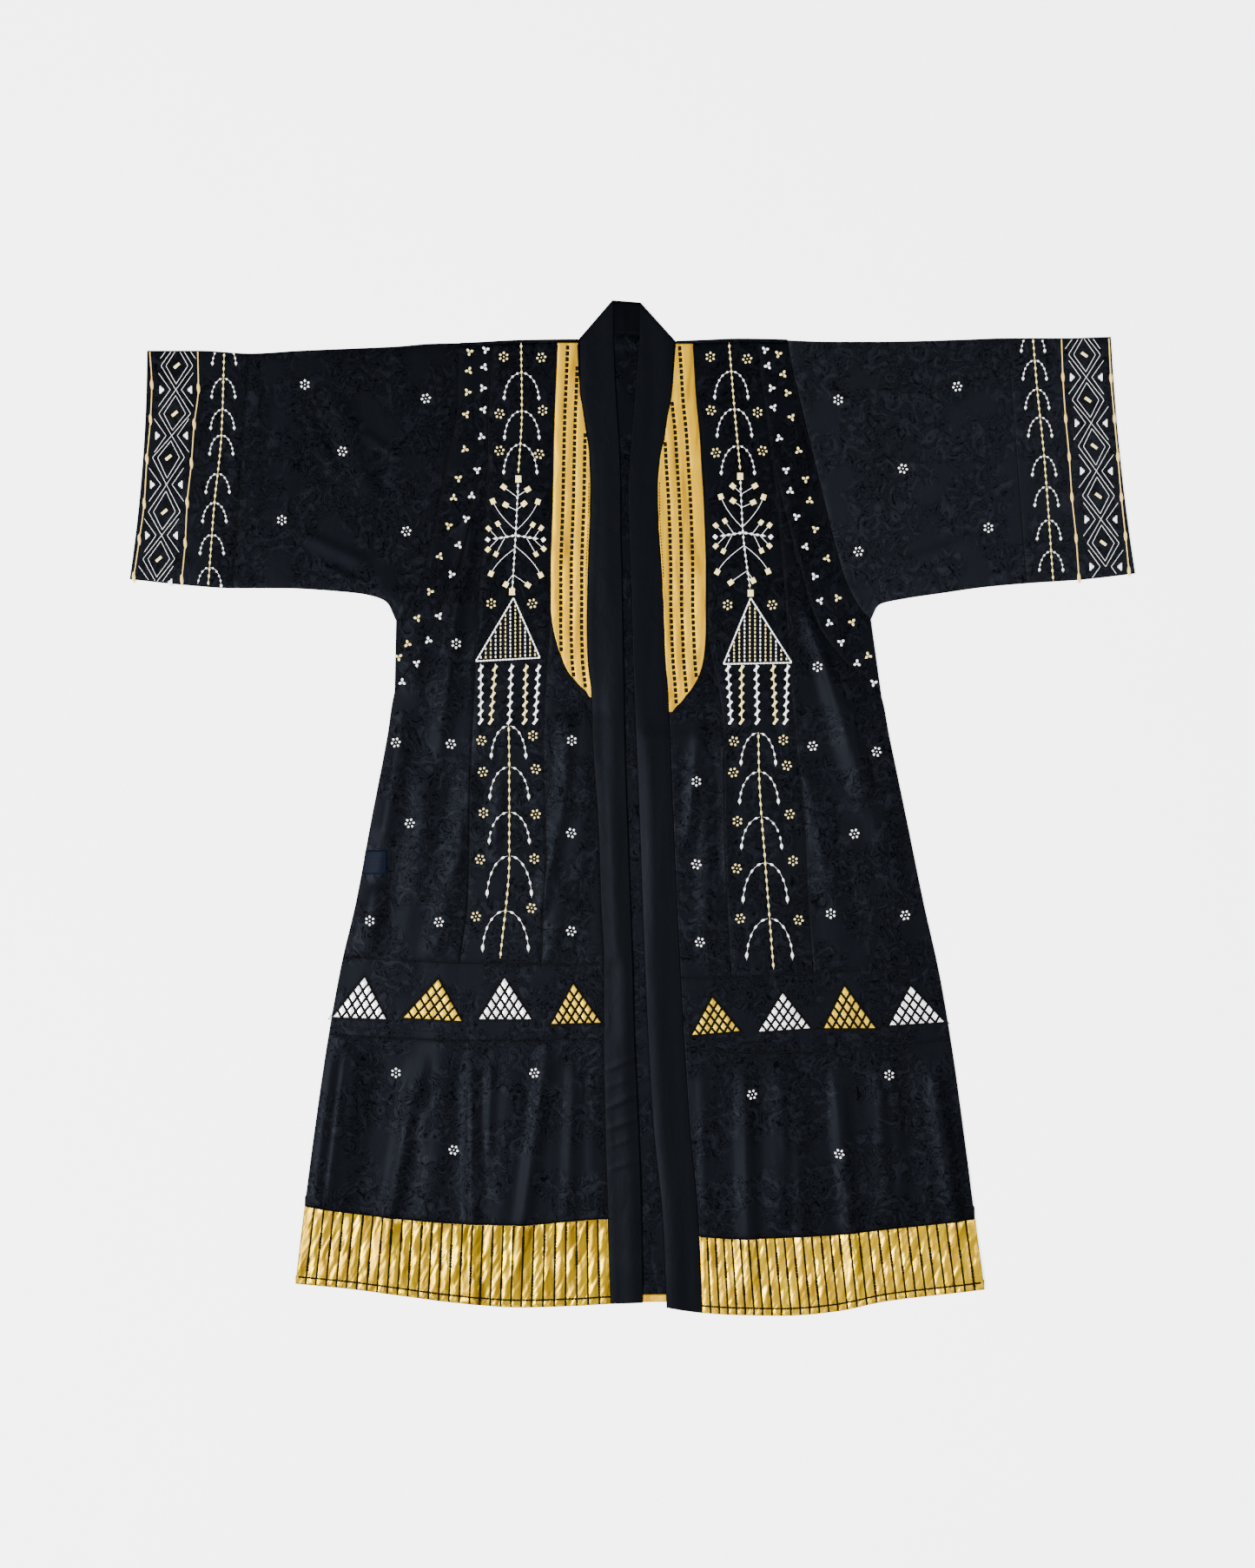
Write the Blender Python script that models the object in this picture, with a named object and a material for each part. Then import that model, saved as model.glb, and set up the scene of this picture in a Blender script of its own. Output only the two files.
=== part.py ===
"""Abaya laid flat on its back, open down the front, with its sleeves spread.

Sizes are millimetres until the meshes are made. X runs across the garment, to the right as it is
seen from above. Y runs from the hem up to the collar. Z is the height above the surface it lies on.
"""
import bmesh
import bpy
import math

MM = 0.001

# Cloth and seams
CLOTH = 1.3             # wall of the satin panels
BAND_WALL = 1.8         # doubled and stiffened front bands
APPLIQUE_WALL = 1.0     # satin laid on a panel
GAP = 0.3               # between pieces, at seams and between layers
FRONT_BASE = CLOTH + GAP                        # underside of the front, on the back
APPLIQUE_BASE = FRONT_BASE + CLOTH + GAP        # underside of what lies on the front
LAP = 5.6               # the back rolls this far over the shoulder, down to the front seam
BEND_ANGLES = (45, 90, 135)                     # points round a folded edge
HEM_TURNUP = 11.5       # gold turned up inside the back hem
HEM_RAMP = 18.0         # the back starts to rise onto the gold hem band this far above it
BACK_OVERLAP = 2.0      # and lies flat on it from here
BACK_EDGE = 2.1         # raw edge of the back, inside the fold of the gold band
NECK_RISE = 8.5         # the back neck seam above the shoulder corners

# Raised forms in the outer points
NECK_CHANNELS = 5
NECK_CHANNEL_RAISE = 0.8
HEM_SPLIT = 2           # hem columns in each column of the skirt, 30 channels in all
HEM_CHANNEL_RAISE = 1.6
TRIANGLE_STEPS = 4
TRIANGLE_PUFF = 0.8

# Columns of each stretch of the front
SIDE_COLUMNS = 14
EMBROIDERED_COLUMNS = 9
INNER_COLUMNS = 7
BAND_COLUMNS = 3
STRIP_COLUMNS = 3

SATIN_BLACK = (0.010, 0.013, 0.022, 1.0)
BAND_BLACK = (0.008, 0.009, 0.013, 1.0)
SATIN_GOLD = (0.560, 0.370, 0.055, 1.0)
SATIN_SILVER = (0.600, 0.590, 0.600, 1.0)
LABEL_NAVY = (0.010, 0.016, 0.040, 1.0)


def table(columns, *rows):
    """Name the columns of a short table."""
    names = columns.split()
    return [dict(zip(names, row)) for row in rows]


# Where the lines of each front lie at each height: the side edge or the strip's seam, the two seams
# of the embroidered panel, the seam of the front band and the band's free edge.
SECTIONS = {
    "left": table(
        "y side outer_seam inner_seam band_seam free_edge",
        (667, -208, -201, -109, -79, -28),
        (601, -208, -205, -112, -76, -25),
        (538, -209, -208, -114, -66, -21),
        (499, -210, -208, -115, -62, -19),
        (457, -225, -210, -116, -61, -18),
        (413, -236, -211, -117, -62, -18),
        (333, -259, -219, -120, -65, -16),
        (266, -285, -224, -119, -66, -15),
        (216, -311, -226, -123, -65, -14),
        (167, -343, -228, -126, -60, -13),
        (101, -354, -232, -129, -58, -12),
        (-24, -378, -235, -126, -50, -8),
        (-137, -399, -238, -129, -46, -4),
        (-222, -419, -249, -132, -42, -1),
        (-332, -439, -255, -134, -42, 2),
        (-462, -458, -265, -139, -40, 8),
        (-587, -474, -274, -142, -36, 12),
        (-716, -489, -280, -146, -32, 14),
    ),
    "right": table(
        "y side outer_seam inner_seam band_seam free_edge",
        (667, 197, 181, 86, 61, 9),
        (601, 199, 188, 90, 55, 3),
        (538, 201, 196, 96, 45, -2),
        (499, 203, 201, 98, 38, -5),
        (457, 212, 206, 101, 35, -7),
        (413, 223, 210, 103, 36, -6),
        (333, 245, 217, 105, 41, -3),
        (266, 266, 222, 107, 44, -1),
        (216, 301, 225, 114, 46, 0),
        (167, 355, 228, 124, 50, 2),
        (101, 369, 234, 131, 53, 4),
        (-24, 395, 246, 132, 58, 9),
        (-137, 418, 252, 136, 63, 13),
        (-236, 440, 259, 141, 68, 17),
        (-347, 459, 268, 149, 74, 22),
        (-462, 475, 279, 161, 82, 29),
        (-587, 491, 293, 174, 93, 42),
        (-721, 509, 308, 186, 99, 48),
    ),
}

# Heights of the cross seams along x: the shoulder seam, the band of triangles and the gold hem.
LEVELS = {
    "left": table(
        "x shoulder band_top band_bottom hem_top hem_bottom",
        (-486, 663, -212, -321, -570, -684),
        (-411, 663, -215, -327, -581, -691),
        (-336, 663, -219, -331, -590, -701),
        (-249, 664, -223, -334, -597, -712),
        (-161, 668, -224, -334, -599, -718),
        (-86, 669, -226, -332, -593, -716),
        (-36, 669, -226, -331, -590, -713),
        (15, 669, -226, -331, -590, -711),
    ),
    "right": table(
        "x shoulder band_top band_bottom hem_top hem_bottom",
        (46, 666, -243, -352, -613, -718),
        (99, 668, -245, -348, -616, -726),
        (151, 670, -244, -351, -619, -729),
        (214, 669, -241, -352, -617, -730),
        (289, 663, -236, -349, -613, -724),
        (364, 663, -231, -342, -605, -709),
        (439, 663, -227, -334, -597, -700),
        (509, 663, -224, -327, -588, -692),
    ),
}
STRIP_END_SECTION = 9   # section at which the strip's seam meets the side edge
LEVEL_NAMES = ("shoulder", "band_top", "band_bottom", "hem_top", "hem_bottom")

# Seam between the sleeve and the armhole strip, from the shoulder to the side.
ARMHOLES = {
    "left": table(
        "y x",
        (669, -249), (626, -250), (584, -251), (479, -270),
        (368, -292), (326, -305), (279, -326), (269, -341),
    ),
    "right": table(
        "y x",
        (673, 222), (626, 231), (584, 241), (463, 270),
        (374, 292), (332, 304), (288, 326), (271, 342),
    ),
}

# Stations along each sleeve, from the cuff edge to the armhole. Bow is how far the station follows
# the curve of the armhole, and hollow how far its middle curves in. The third station is the cuff
# seam.
SLEEVES = {
    "left": table(
        "top_x top_y bottom_x bottom_y bow hollow",
        (-699, 658, -724, 329, 0.0, 6.0),
        (-624, 658, -649, 321, 0.0, 3.0),
        (-551, 654, -576, 316, 0.0, 0.0),
        (-480, 658, -505, 316, 0.05, 0.0),
        (-411, 661, -430, 312, 0.15, 0.0),
        (-341, 664, -380, 306, 0.35, 0.0),
        (-292, 668, -355, 296, 0.65, 0.0),
        (-249, 669, -341, 269, 1.0, 0.0),
    ),
    "right": table(
        "top_x top_y bottom_x bottom_y bow hollow",
        (687, 678, 722, 337, 0.0, 4.5),
        (616, 676, 642, 328, 0.0, 2.0),
        (539, 676, 566, 323, 0.0, 0.0),
        (476, 674, 501, 317, 0.05, 0.0),
        (414, 672, 445, 309, 0.15, 0.0),
        (351, 671, 391, 301, 0.35, 0.0),
        (282, 671, 354, 292, 0.65, 0.0),
        (222, 673, 342, 271, 1.0, 0.0),
    ),
}
CUFF_SEAM = 2
ARMHOLE_STATION = 7
RING_STEP = 0.5         # stations between the rings of a tube

# Rows of the front: the cross seam above, how far down to the next one, and how far the layers
# below lift the front there.
ROWS = table(
    "level share lift",
    (0, 0.0, 0.0), (0, 0.06, 0.0), (0, 0.12, 0.0), (0, 0.179, 0.0), (0, 0.1885, 0.0),
    (0, 0.243, 0.0), (0, 0.307, 0.0), (0, 0.37, 0.0), (0, 0.433, 0.0), (0, 0.4965, 0.0),
    (0, 0.53, 0.0), (0, 0.5626, 0.0), (0, 0.585, 0.0), (0, 0.64, 0.0), (0, 0.705, 0.0),
    (0, 0.775, 0.0), (0, 0.85, 0.0), (0, 0.925, 0.0),
    (1, 0.0, 0.0), (1, 0.33, 0.0), (1, 0.67, 0.0),
    (2, 0.0, 0.0), (2, 0.17, 0.0), (2, 0.34, 0.0), (2, 0.51, 0.0), (2, 0.68, 0.5), (2, 0.84, 1.6),
    (3, 0.0, 1.6), (3, 0.12, 1.6), (3, 0.33, 1.6), (3, 0.66, 3.2), (3, 0.88, 3.2), (3, 1.0, 3.2),
)
FORK_ROW = 4            # the side panel starts here, between the strip and the embroidered panel
STRIP_LAST_ROW = 11     # the strip's seam reaches the side edge
BAND_TOP_ROW = 18
BAND_BOTTOM_ROW = 21
HEM_TOP_ROW = 27
GOLD_LAST_ROW = {"left": 11, "right": 12}

# How full the channels of the hem are, from the hem's seam to its edge. The low value is the
# stitched line above the edge.
HEM_FULLNESS = (0.3, 0.9, 1.0, 1.0, 0.25, 0.8)

# Outer edge of the gold panels beside the neck.
NECK_GOLD_EDGES = {
    "left": table(
        "y x",
        (669, -109), (538, -114), (438, -116), (338, -119), (288, -119), (263, -116),
        (238, -110), (213, -102), (188, -88), (167, -68), (159, -62),
    ),
    "right": table(
        "y x",
        (669, 86), (638, 88), (588, 91), (538, 96), (488, 99), (438, 102), (338, 105),
        (263, 105), (238, 104), (213, 101), (188, 94), (163, 78), (138, 56),
    ),
}

# Satin triangles on the cross bands.
TRIANGLES = table(
    "side number satin apex_x apex_y start_x start_y end_x end_y",
    ("left", 1, "silver", -386, -243, -432, -301, -355, -304),
    ("left", 2, "gold", -280, -246, -331, -302, -246, -307),
    ("left", 3, "silver", -185, -244, -222, -304, -146, -304),
    ("left", 4, "gold", -86, -253, -118, -311, -46, -309),
    ("right", 1, "gold", 114, -272, 84, -327, 154, -321),
    ("right", 2, "silver", 215, -266, 180, -322, 255, -317),
    ("right", 3, "gold", 304, -256, 274, -317, 349, -317),
    ("right", 4, "silver", 399, -256, 368, -313, 448, -308),
)

# Soft folds of the front: the line of the ridge, half its width and its height.
FOLDS = table(
    "x_top y_top x_bottom y_bottom half_width height",
    (-225, 440, -264, 225, 16, 4.2),
    (-254, 268, -282, 55, 15, 4.0),
    (-228, 70, -262, -110, 18, 3.8),
    (-250, -60, -297, -232, 18, 3.5),
    (-330, 165, -388, -236, 19, 4.5),
    (-94, 150, -99, -30, 14, 3.2),
    (-97, 30, -136, -170, 15, 3.5),
    (-100, -90, -122, -235, 12, 2.5),
    (-416, -320, -447, -600, 20, 4.5),
    (-304, -340, -366, -680, 20, 4.8),
    (-232, -325, -230, -760, 17, 4.5),
    (-120, -322, -172, -690, 17, 4.2),
    (-202, -345, -212, -540, 12, 2.0),
    (-80, -345, -98, -640, 16, 2.2),
    (238, 312, 354, -30, 19, 4.6),
    (344, 20, 400, -200, 20, 4.6),
    (245, 70, 297, -165, 14, 3.5),
    (298, 0, 350, -190, 14, 2.4),
    (100, 160, 76, -70, 13, 3.2),
    (129, 130, 137, -150, 13, 3.2),
    (160, -350, 168, -720, 20, 4.8),
    (98, -360, 105, -600, 12, 2.2),
    (290, -345, 322, -720, 17, 4.2),
    (236, -400, 247, -680, 16, 2.8),
    (428, -345, 472, -650, 20, 4.6),
    (372, -350, 392, -600, 14, 2.2),
    (-430, 600, -372, 430, 24, 1.4),
    (-490, 400, -372, 345, 15, 1.2),
    (-640, 610, -650, 370, 20, 0.8),
    (470, 610, 400, 430, 24, 1.3),
    (485, 385, 372, 345, 15, 1.2),
    (560, 610, 545, 370, 20, 0.9),
    (650, 620, 665, 380, 20, 0.8),
)
FOLD_END = 0.22         # share of a fold over which each end rises
SIDE_FADE = 30.0        # folds die out this close to the side edge

# Places that stitching or what lies on them keeps flat.
CALM_ZONES = table(
    "x_low x_high y_low y_high",
    (-128, -55, 145, 680),
    (30, 116, 125, 680),
    (-445, -30, -318, -236),
    (70, 462, -334, -246),
    (-404, -334, -153, -14),
)
CALM_FADE = 28.0

LABEL_CORNERS = ((-385, -61), (-354, -61), (-354, -95), (-390, -95))
LABEL_WALL = 0.8

# Back hem and neck
BACK_NECK_ENDS = (-79.3, 61.5)
BACK_SHOULDER_COLUMNS = 4
BACK_NECK_COLUMNS = 6
BACK_SIDE_HEIGHTS = (166, 90, 20, -50, -120, -200, -280, -360, -440, -510)
BACK_BAND_TOP = {"left": -574, "right": -589, "sag": -10}
BACK_HEM = {"left": -684, "right": -690, "sag": -24}

# Collar: where each band folds over to the back of the neck, and its top.
COLLARS = {
    "left": {"corner": (-77.0, 672.0), "fold_top": (-32.0, 727.0), "free_top": (-29.5, 729.5)},
    "right": {"corner": (60.0, 671.5), "fold_top": (12.5, 725.0), "free_top": (10.0, 727.0)},
}
COLLAR_SHARES = (0.25, 0.5, 0.75, 1.0)
COLLAR_BACK_TOP = ((-30.0, 730.5), (10.5, 727.5))


def lerp(a, b, share):
    return a + (b - a) * share


def mix(p, q, share):
    """Point part of the way from p to q."""
    return tuple(lerp(a, b, share) for a, b in zip(p, q))


def smoothstep(value):
    value = min(max(value, 0.0), 1.0)
    return value * value * (3.0 - 2.0 * value)


def smooth_curve(rows, key, value):
    """Function that runs smoothly through a table's rows and never overshoots them."""
    points = sorted((row[key], row[value]) for row in rows)
    spans = list(zip(points, points[1:]))
    steps = [(b[1] - a[1]) / (b[0] - a[0]) for a, b in spans]
    inner = [2 * s * t / (s + t) if s * t > 0 else 0.0 for s, t in zip(steps, steps[1:])]
    slopes = [steps[0]] + inner + [steps[-1]]

    def evaluate(at):
        if at <= points[0][0]:
            return points[0][1]
        for (a, b), slope_a, slope_b in zip(spans, slopes, slopes[1:]):
            if at <= b[0]:
                width = b[0] - a[0]
                t = (at - a[0]) / width
                rise = smoothstep(t)
                swing_a = t * (1 - t) ** 2 * slope_a * width
                swing_b = -t * t * (1 - t) * slope_b * width
                return a[1] + (b[1] - a[1]) * rise + swing_a + swing_b
        return points[-1][1]

    return evaluate


SIDES = ("left", "right")
LINES = ("side", "outer_seam", "inner_seam", "band_seam", "free_edge")
LINE_AT = {s: {n: smooth_curve(SECTIONS[s], "y", n) for n in LINES} for s in SIDES}
LEVEL_AT = {s: {n: smooth_curve(LEVELS[s], "x", n) for n in LEVEL_NAMES} for s in SIDES}
ARMHOLE_AT = {s: smooth_curve(ARMHOLES[s], "y", "x") for s in SIDES}
GOLD_EDGE_AT = {s: smooth_curve(NECK_GOLD_EDGES[s], "y", "x") for s in SIDES}


def row_height(side, row, x):
    """Height of a row of the front where it passes x."""
    above = LEVEL_AT[side][LEVEL_NAMES[row["level"]]](x)
    below = LEVEL_AT[side][LEVEL_NAMES[row["level"] + 1]](x)
    return lerp(above, below, row["share"])


def crossing(side, row, column_x):
    """Point where a row crosses a column, given as a function of height."""
    x = column_x(row_height(side, row, 0.0))
    for _ in range(4):
        x = column_x(row_height(side, row, x))
    return (x, row_height(side, row, x))


def side_edge(side, y):
    """The garment's edge below the shoulder: the armhole, then the side seam."""
    last = ARMHOLES[side][-1]
    if y >= last["y"]:
        return ARMHOLE_AT[side](y)
    strip_end = SECTIONS[side][STRIP_END_SECTION]
    if y >= strip_end["y"]:
        return lerp(last["x"], strip_end["side"], (last["y"] - y) / (last["y"] - strip_end["y"]))
    return LINE_AT[side]["side"](y)


def calm(x, y):
    """Zero inside the flat places, rising to one away from them."""
    factor = 1.0
    for zone in CALM_ZONES:
        across = max(zone["x_low"] - x, x - zone["x_high"], 0.0)
        along = max(zone["y_low"] - y, y - zone["y_high"], 0.0)
        factor *= smoothstep(math.hypot(across, along) / CALM_FADE)
    return factor


def fold_height(x, y):
    """Height of the soft folds above the flat cloth."""
    height = 0.0
    for fold in FOLDS:
        along_x = fold["x_bottom"] - fold["x_top"]
        along_y = fold["y_bottom"] - fold["y_top"]
        length = math.hypot(along_x, along_y)
        share = ((x - fold["x_top"]) * along_x + (y - fold["y_top"]) * along_y) / length ** 2
        away = abs((x - fold["x_top"]) * along_y - (y - fold["y_top"]) * along_x) / length
        if 0 < share < 1 and away < fold["half_width"]:
            ends = smoothstep(share / FOLD_END) * smoothstep((1 - share) / FOLD_END)
            height += fold["height"] * ends * math.cos(away / fold["half_width"] * math.pi / 2) ** 2
    if not height:
        return 0.0
    side = "left" if x < 0 else "right"
    last = ARMHOLES[side][-1]
    if y < last["y"]:
        height *= smoothstep((abs(side_edge(side, y)) - abs(x)) / SIDE_FADE)
    return height * calm(x, y)


def front_grid(side):
    """Points where the rows and columns of one front cross, and the first column of each line."""
    counts = (SIDE_COLUMNS, EMBROIDERED_COLUMNS, INNER_COLUMNS, BAND_COLUMNS)
    columns = []
    for first, second, count in zip(LINES, LINES[1:], counts):
        columns += [(first, second, step / count) for step in range(count)]
    columns.append(("free_edge", "free_edge", 0.0))
    grid = []
    for row in ROWS:
        points = []
        for first, second, share in columns:
            a = LINE_AT[side][first]
            b = LINE_AT[side][second]
            points.append(crossing(side, row, lambda y: lerp(a(y), b(y), share)))
        grid.append(points)
    return grid


def inset(grid, edges):
    """Pull the named edges of a grid of points half a gap inwards, square to the seam."""
    last_row = len(grid) - 1
    last_column = len(grid[0]) - 1
    moved = [list(row) for row in grid]

    def pull(i, j, to_i, to_j, along_a, along_b):
        p = grid[i][j]
        q = grid[to_i][to_j]
        inward = (q[0] - p[0], q[1] - p[1])
        seam = (along_b[0] - along_a[0], along_b[1] - along_a[1])
        area = abs(inward[0] * seam[1] - inward[1] * seam[0])
        step = GAP / 2 * math.hypot(*seam) / area
        moved[i][j] = (moved[i][j][0] + inward[0] * step, moved[i][j][1] + inward[1] * step)

    for j in range(last_column + 1):
        before = max(j - 1, 0)
        after = min(j + 1, last_column)
        if "first_row" in edges:
            pull(0, j, 1, j, grid[0][before], grid[0][after])
        if "last_row" in edges:
            pull(last_row, j, last_row - 1, j, grid[last_row][before], grid[last_row][after])
    for i in range(last_row + 1):
        before = max(i - 1, 0)
        after = min(i + 1, last_row)
        if "first_column" in edges:
            pull(i, 0, i, 1, grid[before][0], grid[after][0])
        if "last_column" in edges:
            along = (grid[before][last_column], grid[after][last_column])
            pull(i, last_column, i, last_column - 1, *along)
    return moved


def clear_scene():
    for item in list(bpy.data.objects):
        bpy.data.objects.remove(item, do_unlink=True)


def make_material(name, colour, roughness, sheen):
    material = bpy.data.materials.new(name)
    material.use_nodes = True
    shader = material.node_tree.nodes["Principled BSDF"]
    shader.inputs["Base Color"].default_value = colour
    shader.inputs["Roughness"].default_value = roughness
    shader.inputs["Metallic"].default_value = 0.0
    shader.inputs["Sheen Weight"].default_value = sheen
    material.diffuse_color = colour
    return material


def shell(name, outer, inner, material, present=None, closed=False):
    """Closed wall between two grids of points. A closed shell joins its last column to its first."""
    rows = len(outer)
    columns = len(outer[0])
    spans = columns if closed else columns - 1
    mesh = bmesh.new()
    corners = {}

    def corner(layer, i, j):
        key = (layer, i, j % columns)
        if key not in corners:
            x, y, z = (outer if layer == 0 else inner)[i][j % columns]
            corners[key] = mesh.verts.new((x * MM, y * MM, z * MM))
        return corners[key]

    uses = {}
    for i in range(rows - 1):
        for j in range(spans):
            if present and not present(i, j):
                continue
            k = (j + 1) % columns
            for layer in (0, 1):
                a, b, c, d = (corner(layer, *at) for at in ((i, j), (i, k), (i + 1, k), (i + 1, j)))
                mesh.faces.new((a, b, c))
                mesh.faces.new((a, c, d))
            across = (((i, j), (i, k)), ((i + 1, j), (i + 1, k)))
            along = (((i, j), (i + 1, j)), ((i, k), (i + 1, k)))
            for edge in across + along:
                uses[edge] = uses.get(edge, 0) + 1
    for (start, end), count in uses.items():
        if count == 1:
            a, b, c, d = corner(0, *start), corner(0, *end), corner(1, *end), corner(1, *start)
            mesh.faces.new((a, b, c))
            mesh.faces.new((a, c, d))
    bmesh.ops.recalc_face_normals(mesh, faces=mesh.faces[:])
    data = bpy.data.meshes.new(name)
    mesh.to_mesh(data)
    mesh.free()
    data.materials.append(material)
    item = bpy.data.objects.new(name, data)
    PARTS.objects.link(item)
    return item


def panel(name, grid, lifts, edges, material, wall=CLOTH):
    """Front panel: a grid of points, laid on the back with the folds' heights."""
    lower = []
    upper = []
    for points, moved, lift in zip(grid, inset(grid, edges), lifts):
        bottoms = [FRONT_BASE + lift + fold_height(*p) for p in points]
        lower.append([(x, y, z) for (x, y), z in zip(moved, bottoms)])
        upper.append([(x, y, z + wall) for (x, y), z in zip(moved, bottoms)])
    return shell(name, upper, lower, material)


def cut(grid, first_row, last_row, first_column, last_column):
    return [points[first_column:last_column + 1] for points in grid[first_row:last_row + 1]]


def fold_ring(top, bottom, points):
    """Outer and inner loop round a flattened tube, for one station from its upper to lower fold."""
    height = FRONT_BASE + CLOTH
    radius = height / 2
    rise = (bottom[0] - top[0], bottom[1] - top[1])
    length = math.hypot(*rise)
    down = (rise[0] / length, rise[1] / length)

    def beside(point, distance):
        return (point[0] + down[0] * distance, point[1] + down[1] * distance)

    flat = [beside(top, radius)] + points + [beside(bottom, -radius)]
    heights = [fold_height(*p) for p in flat]
    heights[0] = 0.0
    heights[-1] = 0.0
    outer = [(x, y, height + h) for (x, y), h in zip(flat, heights)]
    inner = [(x, y, FRONT_BASE + h) for (x, y), h in zip(flat, heights)]
    for angle in BEND_ANGLES:
        turn = math.radians(angle)
        for loop, r in ((outer, radius), (inner, GAP / 2)):
            x, y = beside(bottom, -radius + r * math.sin(turn))
            loop.append((x, y, radius + r * math.cos(turn)))
    outer += [(x, y, 0.0) for x, y in reversed(flat)]
    inner += [(x, y, CLOTH) for x, y in reversed(flat)]
    for angle in reversed(BEND_ANGLES):
        turn = math.radians(angle)
        for loop, r in ((outer, radius), (inner, GAP / 2)):
            x, y = beside(top, radius - r * math.sin(turn))
            loop.append((x, y, radius + r * math.cos(turn)))
    return outer, inner


def armhole_points(side):
    """Points of the armhole seam that the strip, the sleeve and the back share."""
    start = LEVEL_AT[side]["shoulder"](ARMHOLES[side][0]["x"])
    end = ARMHOLES[side][-1]["y"]
    shares = [row["share"] / ROWS[STRIP_LAST_ROW]["share"] for row in ROWS[:STRIP_LAST_ROW + 1]]
    heights = [lerp(start, end, share) for share in shares]
    return shares, [(ARMHOLE_AT[side](y), y) for y in heights]


def tube(name, side, first, last, ends):
    """Sleeve or cuff: rings at stations along the sleeve, its ends cut back half a gap at seams."""
    stations = [dict(row, at=at) for at, row in enumerate(SLEEVES[side])]
    names = ("top_x", "top_y", "bottom_x", "bottom_y", "bow", "hollow")
    inward = 1 if side == "left" else -1
    at_station = {n: smooth_curve(stations, "at", n) for n in names}
    shares, seam = armhole_points(side)
    armhole = SLEEVES[side][-1]
    seam_top = (armhole["top_x"], armhole["top_y"])
    seam_bottom = (armhole["bottom_x"], armhole["bottom_y"])
    grid = []
    for number in range(round((last - first) / RING_STEP) + 1):
        place = first + number * RING_STEP
        top_x, top_y, bottom_x, bottom_y, bow, hollow = (at_station[n](place) for n in names)
        points = [(top_x, top_y)]
        for share, on_seam in list(zip(shares, seam))[1:-1]:
            straight = mix((top_x, top_y), (bottom_x, bottom_y), share)
            chord = mix(seam_top, seam_bottom, share)
            curve = inward * hollow * 4 * share * (1 - share)
            x = straight[0] + bow * (on_seam[0] - chord[0]) + curve
            y = straight[1] + bow * (on_seam[1] - chord[1])
            points.append((x, y))
        points.append((bottom_x, bottom_y))
        grid.append(points)
    rings = [fold_ring(row[0], row[-1], row[1:-1]) for row in inset(grid, ends)]
    outer = [ring[0] for ring in rings]
    inner = [ring[1] for ring in rings]
    return shell(name, outer, inner, SATIN, closed=True)


def build_front(side):
    """Panels of one front, between the seams of its grid."""
    grid = front_grid(side)
    lifts = [row["lift"] for row in ROWS]
    outer = SIDE_COLUMNS
    inner = outer + EMBROIDERED_COLUMNS
    band = inner + INNER_COLUMNS
    both = ("first_column", "last_column", "first_row", "last_row")
    inside = ("first_row", "last_row", "last_column")

    side_panel = cut(grid, FORK_ROW, BAND_TOP_ROW, 0, outer)
    panel("side_panel_" + side, side_panel, lifts[FORK_ROW:], both, SATIN)
    panel("embroidered_" + side, cut(grid, 0, BAND_TOP_ROW, outer, inner), lifts, both, SATIN)
    panel("front_inner_" + side, cut(grid, 0, BAND_TOP_ROW, inner, band), lifts, both, SATIN)
    cross = cut(grid, BAND_TOP_ROW, BAND_BOTTOM_ROW, 0, band)
    panel("triangle_band_" + side, cross, lifts[BAND_TOP_ROW:], inside, SATIN)
    skirt = cut(grid, BAND_BOTTOM_ROW, HEM_TOP_ROW, 0, band)
    panel("skirt_" + side, skirt, lifts[BAND_BOTTOM_ROW:], inside, SATIN)
    build_strip(side, grid)
    build_hem_band(side, cut(grid, HEM_TOP_ROW, len(ROWS) - 1, 0, band), lifts[HEM_TOP_ROW:])
    build_neck_gold(side, grid, band)
    build_band(side, cut(grid, 0, len(ROWS) - 1, band, band + BAND_COLUMNS), lifts)


def build_strip(side, grid):
    """Curved strip round the armhole, from the shoulder down to the side edge."""
    _, seam = armhole_points(side)
    rows = []
    for number, start in enumerate(seam):
        end = grid[number][SIDE_COLUMNS] if number < FORK_ROW else grid[number][0]
        rows.append([mix(start, end, step / STRIP_COLUMNS) for step in range(STRIP_COLUMNS + 1)])
    edges = ("first_row", "first_column", "last_column")
    panel("armhole_strip_" + side, rows, [0.0] * len(rows), edges, SATIN)


def build_hem_band(side, grid, lifts):
    """Gold hem band, its channels raised in the outer points over a plain inside."""
    moved = inset(grid, ("first_row", "last_column"))
    lower = []
    upper = []
    for points, edge, lift, fullness in zip(grid, moved, lifts, HEM_FULLNESS):
        bottoms = [(x, y, FRONT_BASE + lift + fold_height(*p)) for p, (x, y) in zip(points, edge)]
        below = []
        for start, end in zip(bottoms, bottoms[1:]):
            below += [mix(start, end, step / HEM_SPLIT) for step in range(HEM_SPLIT)]
        below.append(bottoms[-1])
        raises = [HEM_CHANNEL_RAISE * fullness * (number % 2) for number in range(len(below))]
        lower.append(below)
        upper.append([(x, y, z + CLOTH + up) for (x, y, z), up in zip(below, raises)])
    shell("hem_band_" + side, upper, lower, GOLD)


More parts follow.
